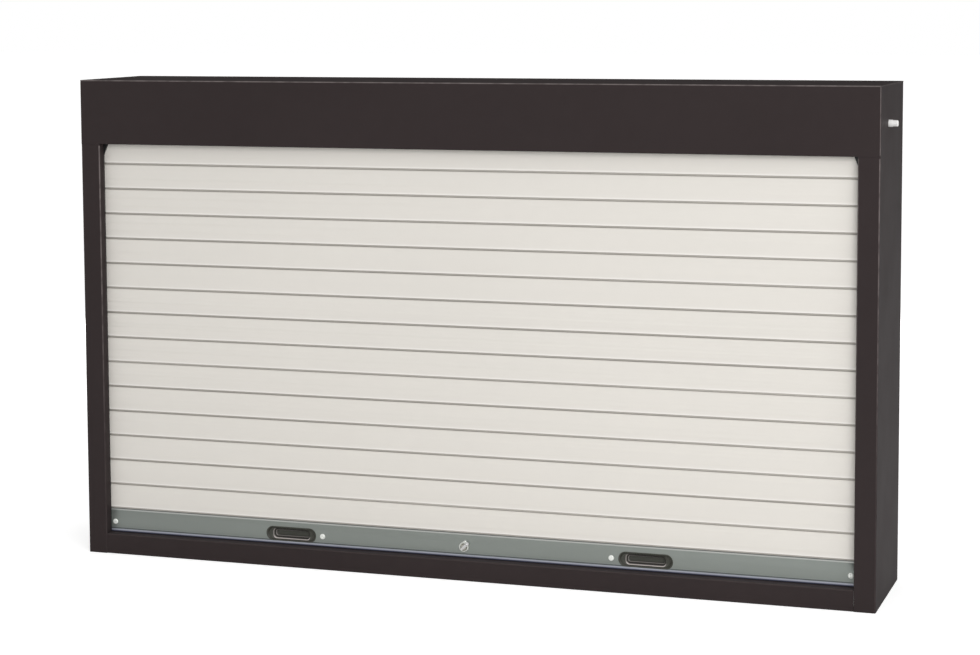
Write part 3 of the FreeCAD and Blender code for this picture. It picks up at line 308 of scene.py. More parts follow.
def tone_drift_effect():
    """A colour that drifts a little from place to place: wide soft clouds and a finer mottle."""
    tree, source, sink = effect(
        "tone_drift",
        [("Position", "Vector", None), ("Colour", "Color", (0.5, 0.5, 0.5, 1)),
         ("Share", "Float", 0.1)],
        [("Colour", "Color")],
    )
    wide = add(tree, "TexNoise", Vector=source.outputs[0], Scale=2.6, Detail=3.0).outputs[0]
    fine = add(tree, "TexNoise", Vector=source.outputs[0], Scale=38.0, Detail=4.0).outputs[0]
    both = maths(tree, "MULTIPLY_ADD", wide, 0.7, maths(tree, "MULTIPLY", fine, 0.3))
    swing = maths(tree, "MULTIPLY", maths(tree, "SUBTRACT", both, 0.5), 2.0)
    factor = maths(tree, "MULTIPLY_ADD", swing, source.outputs[2], 1.0)
    grey = add(tree, "CombineColor", Red=factor, Green=factor, Blue=factor).outputs[0]
    colour = blend_colours(tree, 1.0, source.outputs[1], grey, "MULTIPLY")
    tree.links.new(colour, sink.inputs[0])
    return tree


def coat_grain_effect():
    """The orange-peel relief of sprayed powder paint: round cells over finer noise."""
    tree, source, sink = effect(
        "coat_grain",
        [("Position", "Vector", None), ("Cells", "Float", 600.0)],
        [("Height", "Float"), ("Mottle", "Float")],
    )
    cells = add(tree, "TexVoronoi", {"feature": "SMOOTH_F1"}, Vector=source.outputs[0],
                Scale=source.outputs[1], Smoothness=1.0).outputs[0]
    finer = maths(tree, "MULTIPLY", source.outputs[1], 2.3)
    noise = add(tree, "TexNoise", Vector=source.outputs[0], Scale=finer, Detail=3.0).outputs[0]
    height = maths(tree, "MULTIPLY_ADD", cells, -0.7, maths(tree, "MULTIPLY", noise, 0.4))
    wide = add(tree, "TexNoise", Vector=source.outputs[0], Scale=9.0, Detail=5.0).outputs[0]
    tree.links.new(height, sink.inputs[0])
    tree.links.new(wide, sink.inputs[1])
    return tree


def edge_wear_and_highlight_effect():
    """A mask along cut edges, where a softened normal leaves the true one, used as wear and as a
    painted highlight, and along folds, where the normal of squared-up sheet faces no side of the
    box, used as a painted highlight, broken up by noise."""
    tree, source, sink = effect(
        "edge_wear_and_highlight",
        [("Position", "Vector", None), ("Width", "Float", 0.002), ("Folds", "Float", 0.0)],
        [("Mask", "Float")],
    )
    soft = add(tree, "Bevel", {"samples": 4}, Radius=source.outputs[1]).outputs[0]
    true = add(tree, "NewGeometry").outputs["Normal"]
    facing = add(tree, "VectorMath", {"operation": "DOT_PRODUCT"}, n0=soft,
                 n1=true).outputs["Value"]
    size = add(tree, "VectorMath", {"operation": "ABSOLUTE"}, n0=true).outputs[0]
    sides = add(tree, "SeparateXYZ", Vector=size).outputs
    most = maths(tree, "MAXIMUM", maths(tree, "MAXIMUM", sides[0], sides[1]), sides[2])
    # Painted highlight along the sheet's folds.
    fold_highlight = maths(tree, "MULTIPLY", ranged(tree, most, 0.995, 0.93), source.outputs[2])
    # Cut edges: part wear, part painted highlight.
    cut = ranged(tree, facing, 0.995, 0.86, 0.0, 0.65)
    edge = maths(tree, "MAXIMUM", cut, fold_highlight)
    noise = add(tree, "TexNoise", Vector=source.outputs[0], Scale=55.0, Detail=5.0).outputs[0]
    broken = maths(tree, "MULTIPLY", edge, ranged(tree, noise, 0.35, 0.6, 0.45))
    tree.links.new(broken, sink.inputs[0])
    return tree


def drawn_lines_effect():
    """Fine lines along X, as an extrusion die leaves them: noise stretched a long way along X."""
    tree, source, sink = effect(
        "drawn_lines",
        [("Position", "Vector", None)],
        [("Height", "Float"), ("Streak", "Float")],
    )
    squeeze = add(tree, "VectorMath", {"operation": "MULTIPLY"}, n0=source.outputs[0],
                  n1=(1.5, 900.0, 900.0)).outputs[0]
    fine = add(tree, "TexNoise", Vector=squeeze, Scale=1.0, Detail=3.0).outputs[0]
    broad = add(tree, "VectorMath", {"operation": "MULTIPLY"}, n0=source.outputs[0],
                n1=(0.8, 120.0, 120.0)).outputs[0]
    streak = add(tree, "TexNoise", Vector=broad, Scale=1.0, Detail=2.0).outputs[0]
    tree.links.new(fine, sink.inputs[0])
    tree.links.new(streak, sink.inputs[1])
    return tree


def settled_dust_effect():
    """A thin pale film on faces that look up, patchy, as a mask."""
    tree, source, sink = effect(
        "settled_dust",
        [("Position", "Vector", None), ("Share", "Float", 0.1)],
        [("Mask", "Float")],
    )
    normal = add(tree, "NewGeometry").outputs["Normal"]
    up = add(tree, "SeparateXYZ", Vector=normal).outputs[2]
    noise = add(tree, "TexNoise", Vector=source.outputs[0], Scale=14.0, Detail=6.0).outputs[0]
    mask = maths(tree, "MULTIPLY", ranged(tree, up, 0.5, 0.95), ranged(tree, noise, 0.35, 0.7))
    tree.links.new(maths(tree, "MULTIPLY", mask, source.outputs[1]), sink.inputs[0])
    return tree


def weave_effect():
    """Plain webbing on the piece's own map: warp and weft threads that pass over each other."""
    tree, source, sink = effect(
        "webbing",
        [("Map", "Vector", None)],
        [("Height", "Float"), ("Shade", "Float")],
    )
    parts = add(tree, "SeparateXYZ", Vector=source.outputs[0])
    waves = [maths(tree, "SINE", maths(tree, "MULTIPLY", parts.outputs[k], math.pi))
             for k in (0, 1)]
    height = maths(tree, "ABSOLUTE", maths(tree, "MULTIPLY", waves[0], waves[1]))
    tree.links.new(height, sink.inputs[0])
    tree.links.new(ranged(tree, height, 0.0, 0.8, 0.55, 1.0), sink.inputs[1])
    return tree


TONE_DRIFT = tone_drift_effect()
COAT_GRAIN = coat_grain_effect()
EDGE_WEAR_AND_HIGHLIGHT = edge_wear_and_highlight_effect()
DRAWN_LINES = drawn_lines_effect()
SETTLED_DUST = settled_dust_effect()
WEBBING = weave_effect()


def use(tree, group, **sockets):
    """A shared effect placed in a finish with its own values."""
    node = tree.nodes.new("ShaderNodeGroup")
    node.node_tree = group
    for key, given in sockets.items():
        if isinstance(given, bpy.types.NodeSocket):
            tree.links.new(given, node.inputs[key])
        else:
            node.inputs[key].default_value = given
    return node.outputs


def new_finish(name):
    """An empty finish: its tree, its shader and the object's own coordinates."""
    material = bpy.data.materials.new(name)
    material.use_nodes = True
    tree = material.node_tree
    shader = tree.nodes["Principled BSDF"]
    place = tree.nodes.new("ShaderNodeTexCoord").outputs["Object"]
    return material, tree, shader, place


def relief(tree, shader, height, distance):
    """Bump on the shader from a height, with its depth in millimetres."""
    bump = tree.nodes.new("ShaderNodeBump")
    bump.inputs["Distance"].default_value = distance * MM
    tree.links.new(height, bump.inputs["Height"])
    tree.links.new(bump.outputs[0], shader.inputs["Normal"])


def paint_finish(name, colour, wear_highlight_colour, drift, rough, gloss, cells, depth, wear_highlight_share, dust):
    """Powder paint: drifting tone, paler edges that are part wear and part painted highlight, a
    painted highlight along the folds, a little dust on top and orange-peel relief. The paler edges
    spare the seam under the header and fade towards the floor."""
    material, tree, shader, place = new_finish(name)
    tone = use(tree, TONE_DRIFT, Position=place, Colour=colour, Share=drift)
    shader.inputs["Specular IOR Level"].default_value = gloss
    # Paler edges and folds: part wear, part painted highlight.
    wear_and_highlight = use(tree, EDGE_WEAR_AND_HIGHLIGHT, Position=place, Width=1.4 * MM, Folds=1.0)["Mask"]
    height = add(tree, "SeparateXYZ", Vector=place).outputs[2]
    seam = low_high("header_panel")[0][2] * MM
    away = maths(tree, "ABSOLUTE", maths(tree, "SUBTRACT", height, seam))
    wear_and_highlight = maths(tree, "MULTIPLY", wear_and_highlight, ranged(tree, away, 2 * MM, 4 * MM))
    # The painted highlight on edges fades towards the floor.
    wear_and_highlight = maths(tree, "MULTIPLY", wear_and_highlight, ranged(tree, height, 0.2, 0.7, 0.12, 1.0))
    film = use(tree, SETTLED_DUST, Position=place, Share=dust)["Mask"]
    grain = use(tree, COAT_GRAIN, Position=place, Cells=cells)
    highlighted = blend_colours(tree, maths(tree, "MULTIPLY", wear_and_highlight, wear_highlight_share), tone["Colour"],
                         wear_highlight_colour)
    dusty = blend_colours(tree, film, highlighted, (0.45, 0.43, 0.40, 1))
    tree.links.new(dusty, shader.inputs["Base Color"])
    smooth = ranged(tree, grain["Mottle"], 0.3, 0.7, rough - 0.02, rough + 0.025)
    tree.links.new(maths(tree, "MULTIPLY_ADD", film, 0.3, smooth), shader.inputs["Roughness"])
    relief(tree, shader, grain["Height"], depth)
    return material


def slat_finish():
    """Off-white slats: fine die lines along their length and a faint change of tone. By height
    within the pitch, the low edge carries a painted highlight and the shoulder a little painted
    shade. The joints, from about 1 to 5 mm behind the curtain's face, are darkened, part grime and
    part painted shade."""
    material, tree, shader, place = new_finish("slat_offwhite")
    tone = use(tree, TONE_DRIFT, Position=place, Colour=(0.782, 0.750, 0.698, 1), Share=0.035)
    lip_highlight, grime_and_shade_colour = (0.93, 0.90, 0.86, 1), (0.26, 0.235, 0.205, 1)
    lines = use(tree, DRAWN_LINES, Position=place)
    shade = ranged(tree, lines["Streak"], 0.3, 0.7, 0.992, 1.0)
    grey = add(tree, "CombineColor", Red=shade, Green=shade, Blue=shade).outputs[0]
    clean = blend_colours(tree, 1.0, tone["Colour"], grey, "MULTIPLY")
    _, front, foot = low_high(SLATS[0])[0]
    _, depth, height = add(tree, "SeparateXYZ", Vector=place).outputs
    raised = maths(tree, "SUBTRACT", height, (foot - SLAT_PLAY) * MM)
    share = add(tree, "Math", {"operation": "FLOORED_MODULO"}, n0=raised,
                n1=SLAT_PITCH * MM).outputs[0]
    # Painted highlight along the low edge of each slat.
    edge = maths(tree, "MULTIPLY", ranged(tree, share, 2.6 * MM, 3.4 * MM, 0.0, 0.65),
                 ranged(tree, share, 5.2 * MM, 7.4 * MM, 1.0, 0.0))
    clean = blend_colours(tree, edge, clean, lip_highlight)
    # Painted shade on the shoulder under each joint.
    shoulder_shade = ranged(tree, share, 43.4 * MM, 46.0 * MM, 0.0, 0.12)
    clean = blend_colours(tree, shoulder_shade, clean, grime_and_shade_colour)
    # Darkening in the joints: part grime, part painted shade.
    behind = ranged(tree, depth, (front + 0.5) * MM, (front + 1.4) * MM)
    before = ranged(tree, depth, (front + 4.6) * MM, (front + 5.6) * MM, 1.0, 0.0)
    grime_and_shade = maths(tree, "MULTIPLY", maths(tree, "MULTIPLY", behind, before),
                  ranged(tree, lines["Streak"], 0.2, 0.6, 0.4, 0.6))
    tree.links.new(blend_colours(tree, grime_and_shade, clean, grime_and_shade_colour), shader.inputs["Base Color"])
    tree.links.new(ranged(tree, lines["Streak"], 0.3, 0.7, 0.40, 0.45), shader.inputs["Roughness"])
    relief(tree, shader, lines["Height"], 0.005)
    return material


def bar_finish():
    """Grey-green anodised aluminium, drawn along X, with paler edges that are part wear and part
    painted highlight. The top lip and the low lip carry painted highlights paler than the face,
    and the low lip's foot and what lies behind the face are painted dark as shade."""
    material, tree, shader, place = new_finish("bar_anodised")
    tone = use(tree, TONE_DRIFT, Position=place, Colour=(0.282, 0.308, 0.288, 1), Share=0.07)
    lines = use(tree, DRAWN_LINES, Position=place)
    wear_and_highlight = use(tree, EDGE_WEAR_AND_HIGHLIGHT, Position=place, Width=0.9 * MM)["Mask"]
    _, face, low = low_high("bottom_bar")[0]
    _, depth, height = add(tree, "SeparateXYZ", Vector=place).outputs
    # Painted highlights on both lips, painted shade under the low lip and behind the face.
    top_lip_highlight = ranged(tree, height, (low + 40.2) * MM, (low + 40.7) * MM)
    low_lip_highlight = ranged(tree, height, (low + 4.2) * MM, (low + 4.8) * MM, 1.0, 0.0)
    foot = ranged(tree, height, (low + 1.2) * MM, (low + 2.2) * MM, 1.0, 0.0)
    depth_shade = ranged(tree, depth, (face + 1.1) * MM, (face + 1.4) * MM)
    shown = tone["Colour"]
    for mask, share, colour in ((wear_and_highlight, 0.45, (0.60, 0.62, 0.64, 1)),
                                (top_lip_highlight, 0.55, (0.68, 0.69, 0.67, 1)),
                                (low_lip_highlight, 0.8, (0.62, 0.65, 0.76, 1)),
                                (foot, 0.85, (0.050, 0.052, 0.120, 1)),
                                (depth_shade, 0.7, (0.07, 0.08, 0.09, 1))):
        shown = blend_colours(tree, maths(tree, "MULTIPLY", mask, share), shown, colour)
    tree.links.new(shown, shader.inputs["Base Color"])
    shader.inputs["Metallic"].default_value = 0.55
    tree.links.new(ranged(tree, lines["Streak"], 0.3, 0.7, 0.30, 0.42), shader.inputs["Roughness"])
    relief(tree, shader, lines["Height"], 0.02)
    return material


def plastic_finish(name, colour, rough, cells, depth):
    """Moulded plastic or rubber with a fine sparked grain and slightly uneven gloss."""
    material, tree, shader, place = new_finish(name)
    tone = use(tree, TONE_DRIFT, Position=place, Colour=colour, Share=0.15)
    grain = use(tree, COAT_GRAIN, Position=place, Cells=cells)
    tree.links.new(tone["Colour"], shader.inputs["Base Color"])
    tree.links.new(ranged(tree, grain["Mottle"], 0.3, 0.7, rough - 0.06, rough + 0.08),
                   shader.inputs["Roughness"])
    relief(tree, shader, grain["Height"], depth)
    return material


def cup_finish():
    """Moulded cup: the plastic's grain, with a pale painted highlight and dark painted shade where
    the piece's own two marks put them."""
    material, tree, shader, place = new_finish("cup_moulding")
    tone = use(tree, TONE_DRIFT, Position=place, Colour=(0.043, 0.044, 0.034, 1), Share=0.12)
    grain = use(tree, COAT_GRAIN, Position=place, Cells=1100.0)
    highlighted, shaded = tree.nodes.new("ShaderNodeAttribute"), tree.nodes.new("ShaderNodeAttribute")
    highlighted.attribute_name, shaded.attribute_name = "painted_highlight", "shade"
    # Painted shade in the pocket and round the rim, and painted highlights on edges that face the
    # light.
    with_painted_shade = blend_colours(tree, shaded.outputs["Fac"], tone["Colour"], (0.012, 0.008, 0.006, 1))
    patchy = maths(tree, "MULTIPLY", highlighted.outputs["Fac"],
                   ranged(tree, grain["Mottle"], 0.25, 0.55, 0.75, 1.0))
    tree.links.new(blend_colours(tree, patchy, with_painted_shade, (0.68, 0.62, 0.60, 1)),
                   shader.inputs["Base Color"])
    tree.links.new(ranged(tree, grain["Mottle"], 0.3, 0.7, 0.28, 0.40), shader.inputs["Roughness"])
    relief(tree, shader, grain["Height"], 0.012)
    return material


def metal_finish(name, colour, rough, spread, drift, spangle, metal=1.0, depth_shade=None):
    """Plated metal: cloudy tone, cells of slightly different gloss, and hairline scuffs. The depth
    shade is a range of Y over which surfaces that lie deeper are painted a dull dark tone as
    shade."""
    material, tree, shader, place = new_finish(name)
    tone = use(tree, TONE_DRIFT, Position=place, Colour=colour, Share=drift)
    cells = add(tree, "TexVoronoi", Vector=place, Scale=spangle)
    grey = add(tree, "RGBToBW", Color=cells.outputs["Color"]).outputs[0]
    scuff = add(tree, "TexNoise", Vector=place, Scale=900.0, Detail=4.0).outputs[0]
    shown = tone["Colour"]
    if depth_shade:
        depth = add(tree, "SeparateXYZ", Vector=place).outputs[1]
        # Painted shade on surfaces that lie deeper.
        shown = blend_colours(tree, ranged(tree, depth, depth_shade[0] * MM, depth_shade[1] * MM), shown,
                              (0.30, 0.29, 0.25, 1))
    tree.links.new(shown, shader.inputs["Base Color"])
    shader.inputs["Metallic"].default_value = metal
    gloss = maths(tree, "MULTIPLY_ADD", grey, spread, rough)
    tree.links.new(maths(tree, "MULTIPLY_ADD", scuff, spread * 0.5, gloss),
                   shader.inputs["Roughness"])
    relief(tree, shader, scuff, 0.004)
    return material


def webbing_finish():
    """Dark woven webbing on the strap's own map."""
    material, tree, shader, _ = new_finish("strap_webbing")
    mapped = tree.nodes.new("ShaderNodeUVMap")
    mapped.uv_map = "Surface"
    weave = use(tree, WEBBING, Map=mapped.outputs[0])
    dark = blend_colours(tree, weave["Shade"], (0.008, 0.008, 0.010, 1), (0.035, 0.035, 0.040, 1))
    tree.links.new(dark, shader.inputs["Base Color"])
    shader.inputs["Roughness"].default_value = 0.85
    relief(tree, shader, weave["Height"], 0.25)
    return material


FINISHES = {
    "case_paint": paint_finish(
        "case_powder_paint", (0.0375, 0.0288, 0.0290, 1), (0.200, 0.172, 0.168, 1), drift=0.16,
        rough=0.46, gloss=0.05, cells=700.0, depth=0.02, wear_highlight_share=0.8, dust=0.02),
    "panel_paint": paint_finish(
        "panel_powder_paint", (0.150, 0.150, 0.146, 1), (0.30, 0.30, 0.29, 1), drift=0.08,
        rough=0.44, gloss=0.4, cells=650.0, depth=0.02, wear_highlight_share=0.35, dust=0.0),
    "slat": slat_finish(),
    "bar_metal": bar_finish(),
    "cup_plastic": cup_finish(),
    "dark_plastic": plastic_finish("black_moulding", (0.006, 0.006, 0.0065, 1), rough=0.42,
                                   cells=900.0, depth=0.02),
    "seal_rubber": plastic_finish("seal_rubber", (0.010, 0.011, 0.020, 1), rough=0.55,
                                  cells=700.0, depth=0.02),
    "bright_plating": metal_finish("bright_plating", (0.80, 0.80, 0.80, 1), rough=0.10,
                                   spread=0.08, drift=0.05, spangle=420.0),
    "zinc_steel": metal_finish("zinc_plating", (0.60, 0.61, 0.63, 1), rough=0.26,
                               spread=0.12, drift=0.10, spangle=260.0),
    "strap_web": webbing_finish(),
}
LOCK_FRONT = low_high("lock_body")[0][1]
# The bezel's deeper surfaces are painted dark as shade.
BEZEL = metal_finish("bezel_chrome", (0.74, 0.76, 0.72, 1), rough=0.16, spread=0.08, drift=0.05,
                     spangle=420.0, metal=0.7, depth_shade=(LOCK_FRONT + 1.0, LOCK_FRONT + 1.25))
# The plug face is darker and duller than the bezel, partly as painted shade in the keyway's
# recess.
PLUG = metal_finish("plug_face", (0.52, 0.51, 0.46, 1), rough=0.35, spread=0.10, drift=0.10,
                    spangle=420.0, metal=0.8)
SCREW_ZINC = metal_finish("screw_zinc", (0.92, 0.94, 0.90, 1), rough=0.34, spread=0.10,
                          drift=0.06, spangle=500.0, metal=0.15)
AXLE_STEEL = metal_finish("axle_steel", (0.95, 0.94, 0.93, 1), rough=0.30, spread=0.10,
                          drift=0.04, spangle=300.0, metal=0.1)
for node_name, node_object in frame["nodes"].items():
    node_object.data.materials.clear()
    node_object.data.materials.append(FINISHES[SLOT_OF[node_name]])


# The curtain.


def slat_section():
    """The section of a slat as (depth, height) from its own front face and foot: a hooked socket
    below, a headed tongue above, round shoulders, and a face that stands 0.35 mm proud at its
    middle, falling off as the square of the distance from it."""
    face_low, face_high, crown = 5.0, 44.4, 0.35
    foot, shoulder, tongue = SLAT_PLAY, SLAT_PITCH - SLAT_PLAY, SLAT_PITCH + 4.0
    middle, half = (face_low + face_high) / 2, (face_high - face_low) / 2
    height = np.linspace(face_high, face_low, 11)
    face = np.stack([crown * ((height - middle) / half) ** 2, height], -1)
    before = [(2.5, foot), (3.4, foot), (3.4, 3.6), (2.8, 3.6), (2.8, 5.8), (7.2, 5.8), (7.2, 3.6),
              (6.6, 3.6), (6.6, foot), (8.0, foot), (8.0, shoulder), (6.2, shoulder),
              (6.2, tongue), (6.8, tongue), (6.8, tongue + 1.4), (3.2, tongue + 1.4),
              (3.2, tongue), (3.8, tongue), (3.8, shoulder), (crown, shoulder)]
    after = [(crown, 3.0), (2.5, 3.0)]
    corners = np.concatenate([before, face, after])
    back_corners, face_start, face_end = [9, 10], len(before), len(before) + len(face)
    radii = np.full(len(corners), 0.12)
    radii[back_corners] = 0.6
    radii[face_start - 1] = 1.6
    radii[face_start:face_end] = 0.01
    radii[face_end] = 1.4
    return rounded(corners, radii, 3)


def slats():
    """Fifteen slats: the section carried along X, one ring a little in from each end."""
    section = slat_section()
    for name in SLATS:
        low, high = low_high(name)
        placed = section + np.array([low[1], low[2] - SLAT_PLAY])
        centre = placed.mean(0)
        ease = 0.4
        stations = [low[0], low[0] + ease, high[0] - ease, high[0]]
        rings = along_x(placed, stations, (0.985, 1, 1, 0.985), centre)
        make_piece(f"{name}_profile", [closed_shell(rings)], name, FINISHES["slat"], (name,),
                   sharp=28)


def finger_cups():
    """Each cup is a row of rings, every ring a box with round corners: up the back of the shell,
    round the rim, down the dish, over the pocket's edge and its ledge, and across its floor. The
    painted highlight is the greater of each ring's low share times how low the point lies and its
    left share times how far left it lies. The painted shade is the ring's own, halved at the left."""
    stages = [  # length, height, corner radius, depth behind the rim, low painted highlight, left painted highlight, painted shade
        (84, 14, 6.9, 14.0, 0, 0, 0), (92, 20, 9.9, 14.0, 0, 0, 0), (95, 22, 10.9, 12.6, 0, 0, 0),
        (95, 22, 10.9, 0.9, 0, 0, 0), (99.2, 26.2, 13.0, 0.8, 0, 0, 0.3),
        (100, 27, 13.4, 0.55, 0, 0, 0.3), (99.5, 26.5, 13.2, 0.15, 0.05, 0, 0),
        (98.4, 25.4, 12.6, 0.0, 0.05, 0, 0), (95.6, 22.8, 11.3, 0.1, 0, 0, 0.1),
        (93.6, 21.6, 10.7, 0.6, 0, 0, 0.3), (92.2, 20.9, 10.4, 1.8, 0, 0, 0.2),
        (90.4, 20.4, 10.0, 2.9, 0, 0, 0), (86.0, 20.1, 9.4, 3.3, 0, 0, 0),
        (75.2, 20.0, 7.6, 3.3, 0.1, 0, 0), (74.2, 19.6, 7.2, 3.35, 0.9, 0.35, 0),
        (72.4, 18.5, 6.8, 3.7, 1.0, 0.45, 0), (71.4, 17.6, 6.4, 4.5, 0.5, 0.1, 0.2),
        (70.8, 17.0, 6.0, 8.0, 0, 0, 1), (70.2, 16.4, 5.6, 8.3, 0, 0, 1),
        (67.4, 11.4, 3.6, 8.5, 0, 0, 0.9), (66.4, 10.4, 3.2, 8.6, 0.42, 0.6, 0),
        (65.8, 9.8, 3.0, 9.0, 0.3, 0.4, 0.3), (65.0, 9.2, 2.6, 12.2, 0, 0, 0.5),
        (63.8, 8.4, 2.2, 12.7, 0, 0, 0), (58.0, 4.0, 1.2, 12.8, 0, 0, 0),
    ]
    for side in ("left", "right"):
        low, high = low_high(f"finger_cup_{side}")
        middle = (low + high) / 2
        rings, painted_highlight, shade = [], [], []
        for length, height, radius, depth, low_highlight, left_highlight, dark in stages:
            ring = round_box(length, height, radius)
            y = np.full(len(ring), low[1] + depth)
            rings.append(np.stack([middle[0] + ring[:, 0], y, middle[2] + ring[:, 1]], -1))
            below = np.clip(-ring[:, 1] / (height / 2) * 1.6 - 0.4, 0, 1)
            leftward = np.clip((-ring[:, 0] - length / 2 + 6) / 5, 0, 1)
            painted_highlight.append(np.maximum(low_highlight * below, left_highlight * leftward))
            shade.append(dark * (1 - 0.5 * leftward))
        make_piece(f"finger_cup_{side}_moulding", [closed_shell(np.array(rings))], "bottom_bar",
                   FINISHES["cup_plastic"], (f"finger_cup_{side}",), sharp=40,
                   marks={"painted_highlight": np.array(painted_highlight), "shade": np.array(shade)})


def pan_head(centre, radius, recess):
    """A pan head screw facing front: rings of a low dome that falls by 22% of its height as the
    square of the radius and by the rest close to its rim, pressed in by a cross recess whose arms
    fade out at 55% of the radius, then the shank."""
    count, shank_radius, shank_length = 64, 2.0, 6.0
    a = np.arange(count) * 2 * math.pi / count
    share = np.concatenate([np.linspace(0.03, 0.7, 22), np.linspace(0.74, 1.0, 8)])
    r = share * radius
    dome = HEAD_HEIGHT * (1 - 0.22 * share**2 - 0.78 * share**12)
    x, z = r[:, None] * np.cos(a), r[:, None] * np.sin(a)
    arm = np.minimum(np.abs(x), np.abs(z))
    wall = 1 / (1 + np.exp((arm - recess * 0.5) * 18 / recess))
    fade = 1 / (1 + np.exp((r[:, None] - radius * 0.55) * 9 / radius * 1.5))
    out = dome[:, None] - HEAD_HEIGHT * 0.6 * wall * fade
    out[-1] = 0.0
    top = np.stack([x, -out, z], -1)
    tail = turned([(radius, 0.0), (radius * 0.985, 0.05), (shank_radius, 0.06),
                   (shank_radius, shank_length - 0.6), (shank_radius - 0.5, shank_length)],
                  (0, 0, 0), count=count)
    return closed_shell(np.concatenate([top, tail[1:]]) + np.asarray(centre, float))


def screws():
    """The bar's four screws and the tool panels' twelve, each on its CAD screw's own place."""
    low, high = low_high("bar_screws")
    face, z = low[1] + HEAD_HEIGHT, (low[2] + high[2]) / 2
    cup_half, from_cup, from_side = 50, 63, 27.5
    outer = (high[0] - low[0]) / 2 - HEAD_RADIUS
    inner = low_high("finger_cup_right")[0][0] + cup_half - from_cup
    shells = [pan_head((x, face, z), radius=5.2, recess=0.8)
              for x in (-outer, -inner, inner, outer)]
    make_piece("bar_screw_heads", shells, "bottom_bar", SCREW_ZINC, ("bar_screws",))
    low, high = low_high("panel_screws")
    face = low[1] + HEAD_HEIGHT
    shells = []
    for side in ("left", "centre", "right"):
        sheet_low, sheet_high = low_high(f"tool_panel_{side}")
        for x in (sheet_low[0] + from_side, sheet_high[0] - from_side):
            for z in (low[2] + HEAD_RADIUS, high[2] - HEAD_RADIUS):
                shells.append(pan_head((x, face, z), HEAD_RADIUS, recess=1.1))
    make_piece("panel_screw_heads", shells, "cabinet", FINISHES["zinc_steel"], ("panel_screws",))


def lock():
    """The cylinder lock: a turned bezel and barrel, the keyed plug, the swivelling cover over the
    keyway, and the rivet it turns on."""
    low, high = low_high("lock_body")
    x, z = (low[0] + high[0]) / 2, (low[2] + high[2]) / 2
    front = low[1]
    profile = [(5.3, 13.9), (5.3, 1.6), (5.6, 1.35), (6.5, 1.3), (6.8, 1.05), (6.95, 0.5),
               (7.2, 0.12), (7.6, 0.0), (8.6, 0.05), (9.05, 0.3), (9.25, 0.75), (9.3, 1.55),
               (7.0, 1.6), (7.0, 13.9), (6.8, 14.1), (5.5, 14.1), (5.3, 13.9)]
    bezel_radius, lug_tip, lug_radius = 9.3, (2.2, 11.6), 1.1
    lug = []
    for inset, depth in ((0.3, 1.6), (0.0, 1.5), (0.0, 0.95), (0.25, 0.8), (1.2, 0.75)):
        ring = teardrop((0, 0), lug_tip, bezel_radius - inset, lug_radius - inset * 0.5)
        lug.append(np.stack([x + ring[:, 0], np.full(len(ring), front + depth),
                             z + ring[:, 1]], -1))
    middle, drawn_in = np.array([x, 0, z]), np.array([0.8, 1, 0.8])
    inner_front = (lug[-1] - middle) * drawn_in + middle
    inner_back = (lug[0] - middle) * drawn_in + middle
    lug_shell = open_ring(np.array([inner_back] + lug + [inner_front, inner_back]))
    make_piece("lock_bezel_turned",
               [open_ring(turned(profile, (x, front, z), count=72)), lug_shell],
               "bottom_bar", BEZEL, ("lock_body",))
    boss, boss_radius = np.array([7.3, 7.0]), 3.1
    tip, tip_radius = -np.array([3.25, 3.25]), 2.3
    y = low_high("keyhole_cover")[0][1]
    rings = []
    for inset, depth in ((1.2, 1.0), (0.0, 1.0), (0.0, 0.35), (0.12, 0.12), (0.4, 0.02),
                         (1.2, 0.0)):
        ring = teardrop(boss, tip, boss_radius - inset, tip_radius - inset)
        rings.append(np.stack([x + ring[:, 0], np.full(len(ring), y + depth), z + ring[:, 1]], -1))
    make_piece("keyhole_cover_blade", [closed_shell(np.array(rings))], "keyhole_cover",
               FINISHES["bright_plating"], ("keyhole_cover",))
    pin_low, pin_high = low_high("cover_pin")
    profile = [(0.2, 0.0), (0.9, 0.05), (1.5, 0.25), (1.85, 0.55), (1.95, 0.8), (1.1, 0.82),
               (1.1, pin_high[1] - pin_low[1] - 0.1), (0.9, pin_high[1] - pin_low[1])]
    centre = ((pin_low[0] + pin_high[0]) / 2, pin_low[1], (pin_low[2] + pin_high[2]) / 2)
    make_piece("cover_rivet", [closed_shell(turned(profile, centre))], "bottom_bar",
               FINISHES["bright_plating"], ("cover_pin",))
    eased_copy("lock_plug", 0.12, finish=PLUG)
    eased_copy("lock_nut", 0.3)
    eased_copy("lock_cam", 0.3)
    eased_copy("lock_keeper", 0.25)


def axle():
    """The fixed axle with a clip groove and a rounded nose at each end, and its two collars."""
    low, high = low_high("roller_axle")
    centre = (0, (low[1] + high[1]) / 2, (low[2] + high[2]) / 2)
    end, radius = high[0], (high[2] - low[2]) / 2
    nose = [(radius, end - 3.6), (radius - 0.1, end - 3.5), (radius - 0.4, end - 3.45),
            (radius - 0.4, end - 2.75), (radius - 0.1, end - 2.7), (radius, end - 2.6),
            (radius, end - 1.4), (radius - 0.4, end - 0.6), (radius - 1.1, end - 0.15),
            (radius - 1.9, end)]
    left = [(r, -d) for r, d in reversed(nose)]
    make_piece("axle_turned", [closed_shell(turned(left + nose, centre, "x"))], "cabinet",
               AXLE_STEEL, ("roller_axle",))
    for side in ("left", "right"):
        low, high = low_high(f"axle_collar_{side}")
        inner, outer, length = 5.56, (high[2] - low[2]) / 2, high[0] - low[0]
        profile = [(inner, 0.3), (inner + 0.3, 0.0), (outer - 0.5, 0.0), (outer, 0.5),
                   (outer, length - 0.5), (outer - 0.5, length), (inner + 0.3, length),
                   (inner, length - 0.3), (inner, 0.3)]
        rings = turned(profile, (low[0], centre[1], centre[2]), "x")
        make_piece(f"axle_collar_{side}_turned", [open_ring(rings)], "cabinet", AXLE_STEEL,
                   (f"axle_collar_{side}",))


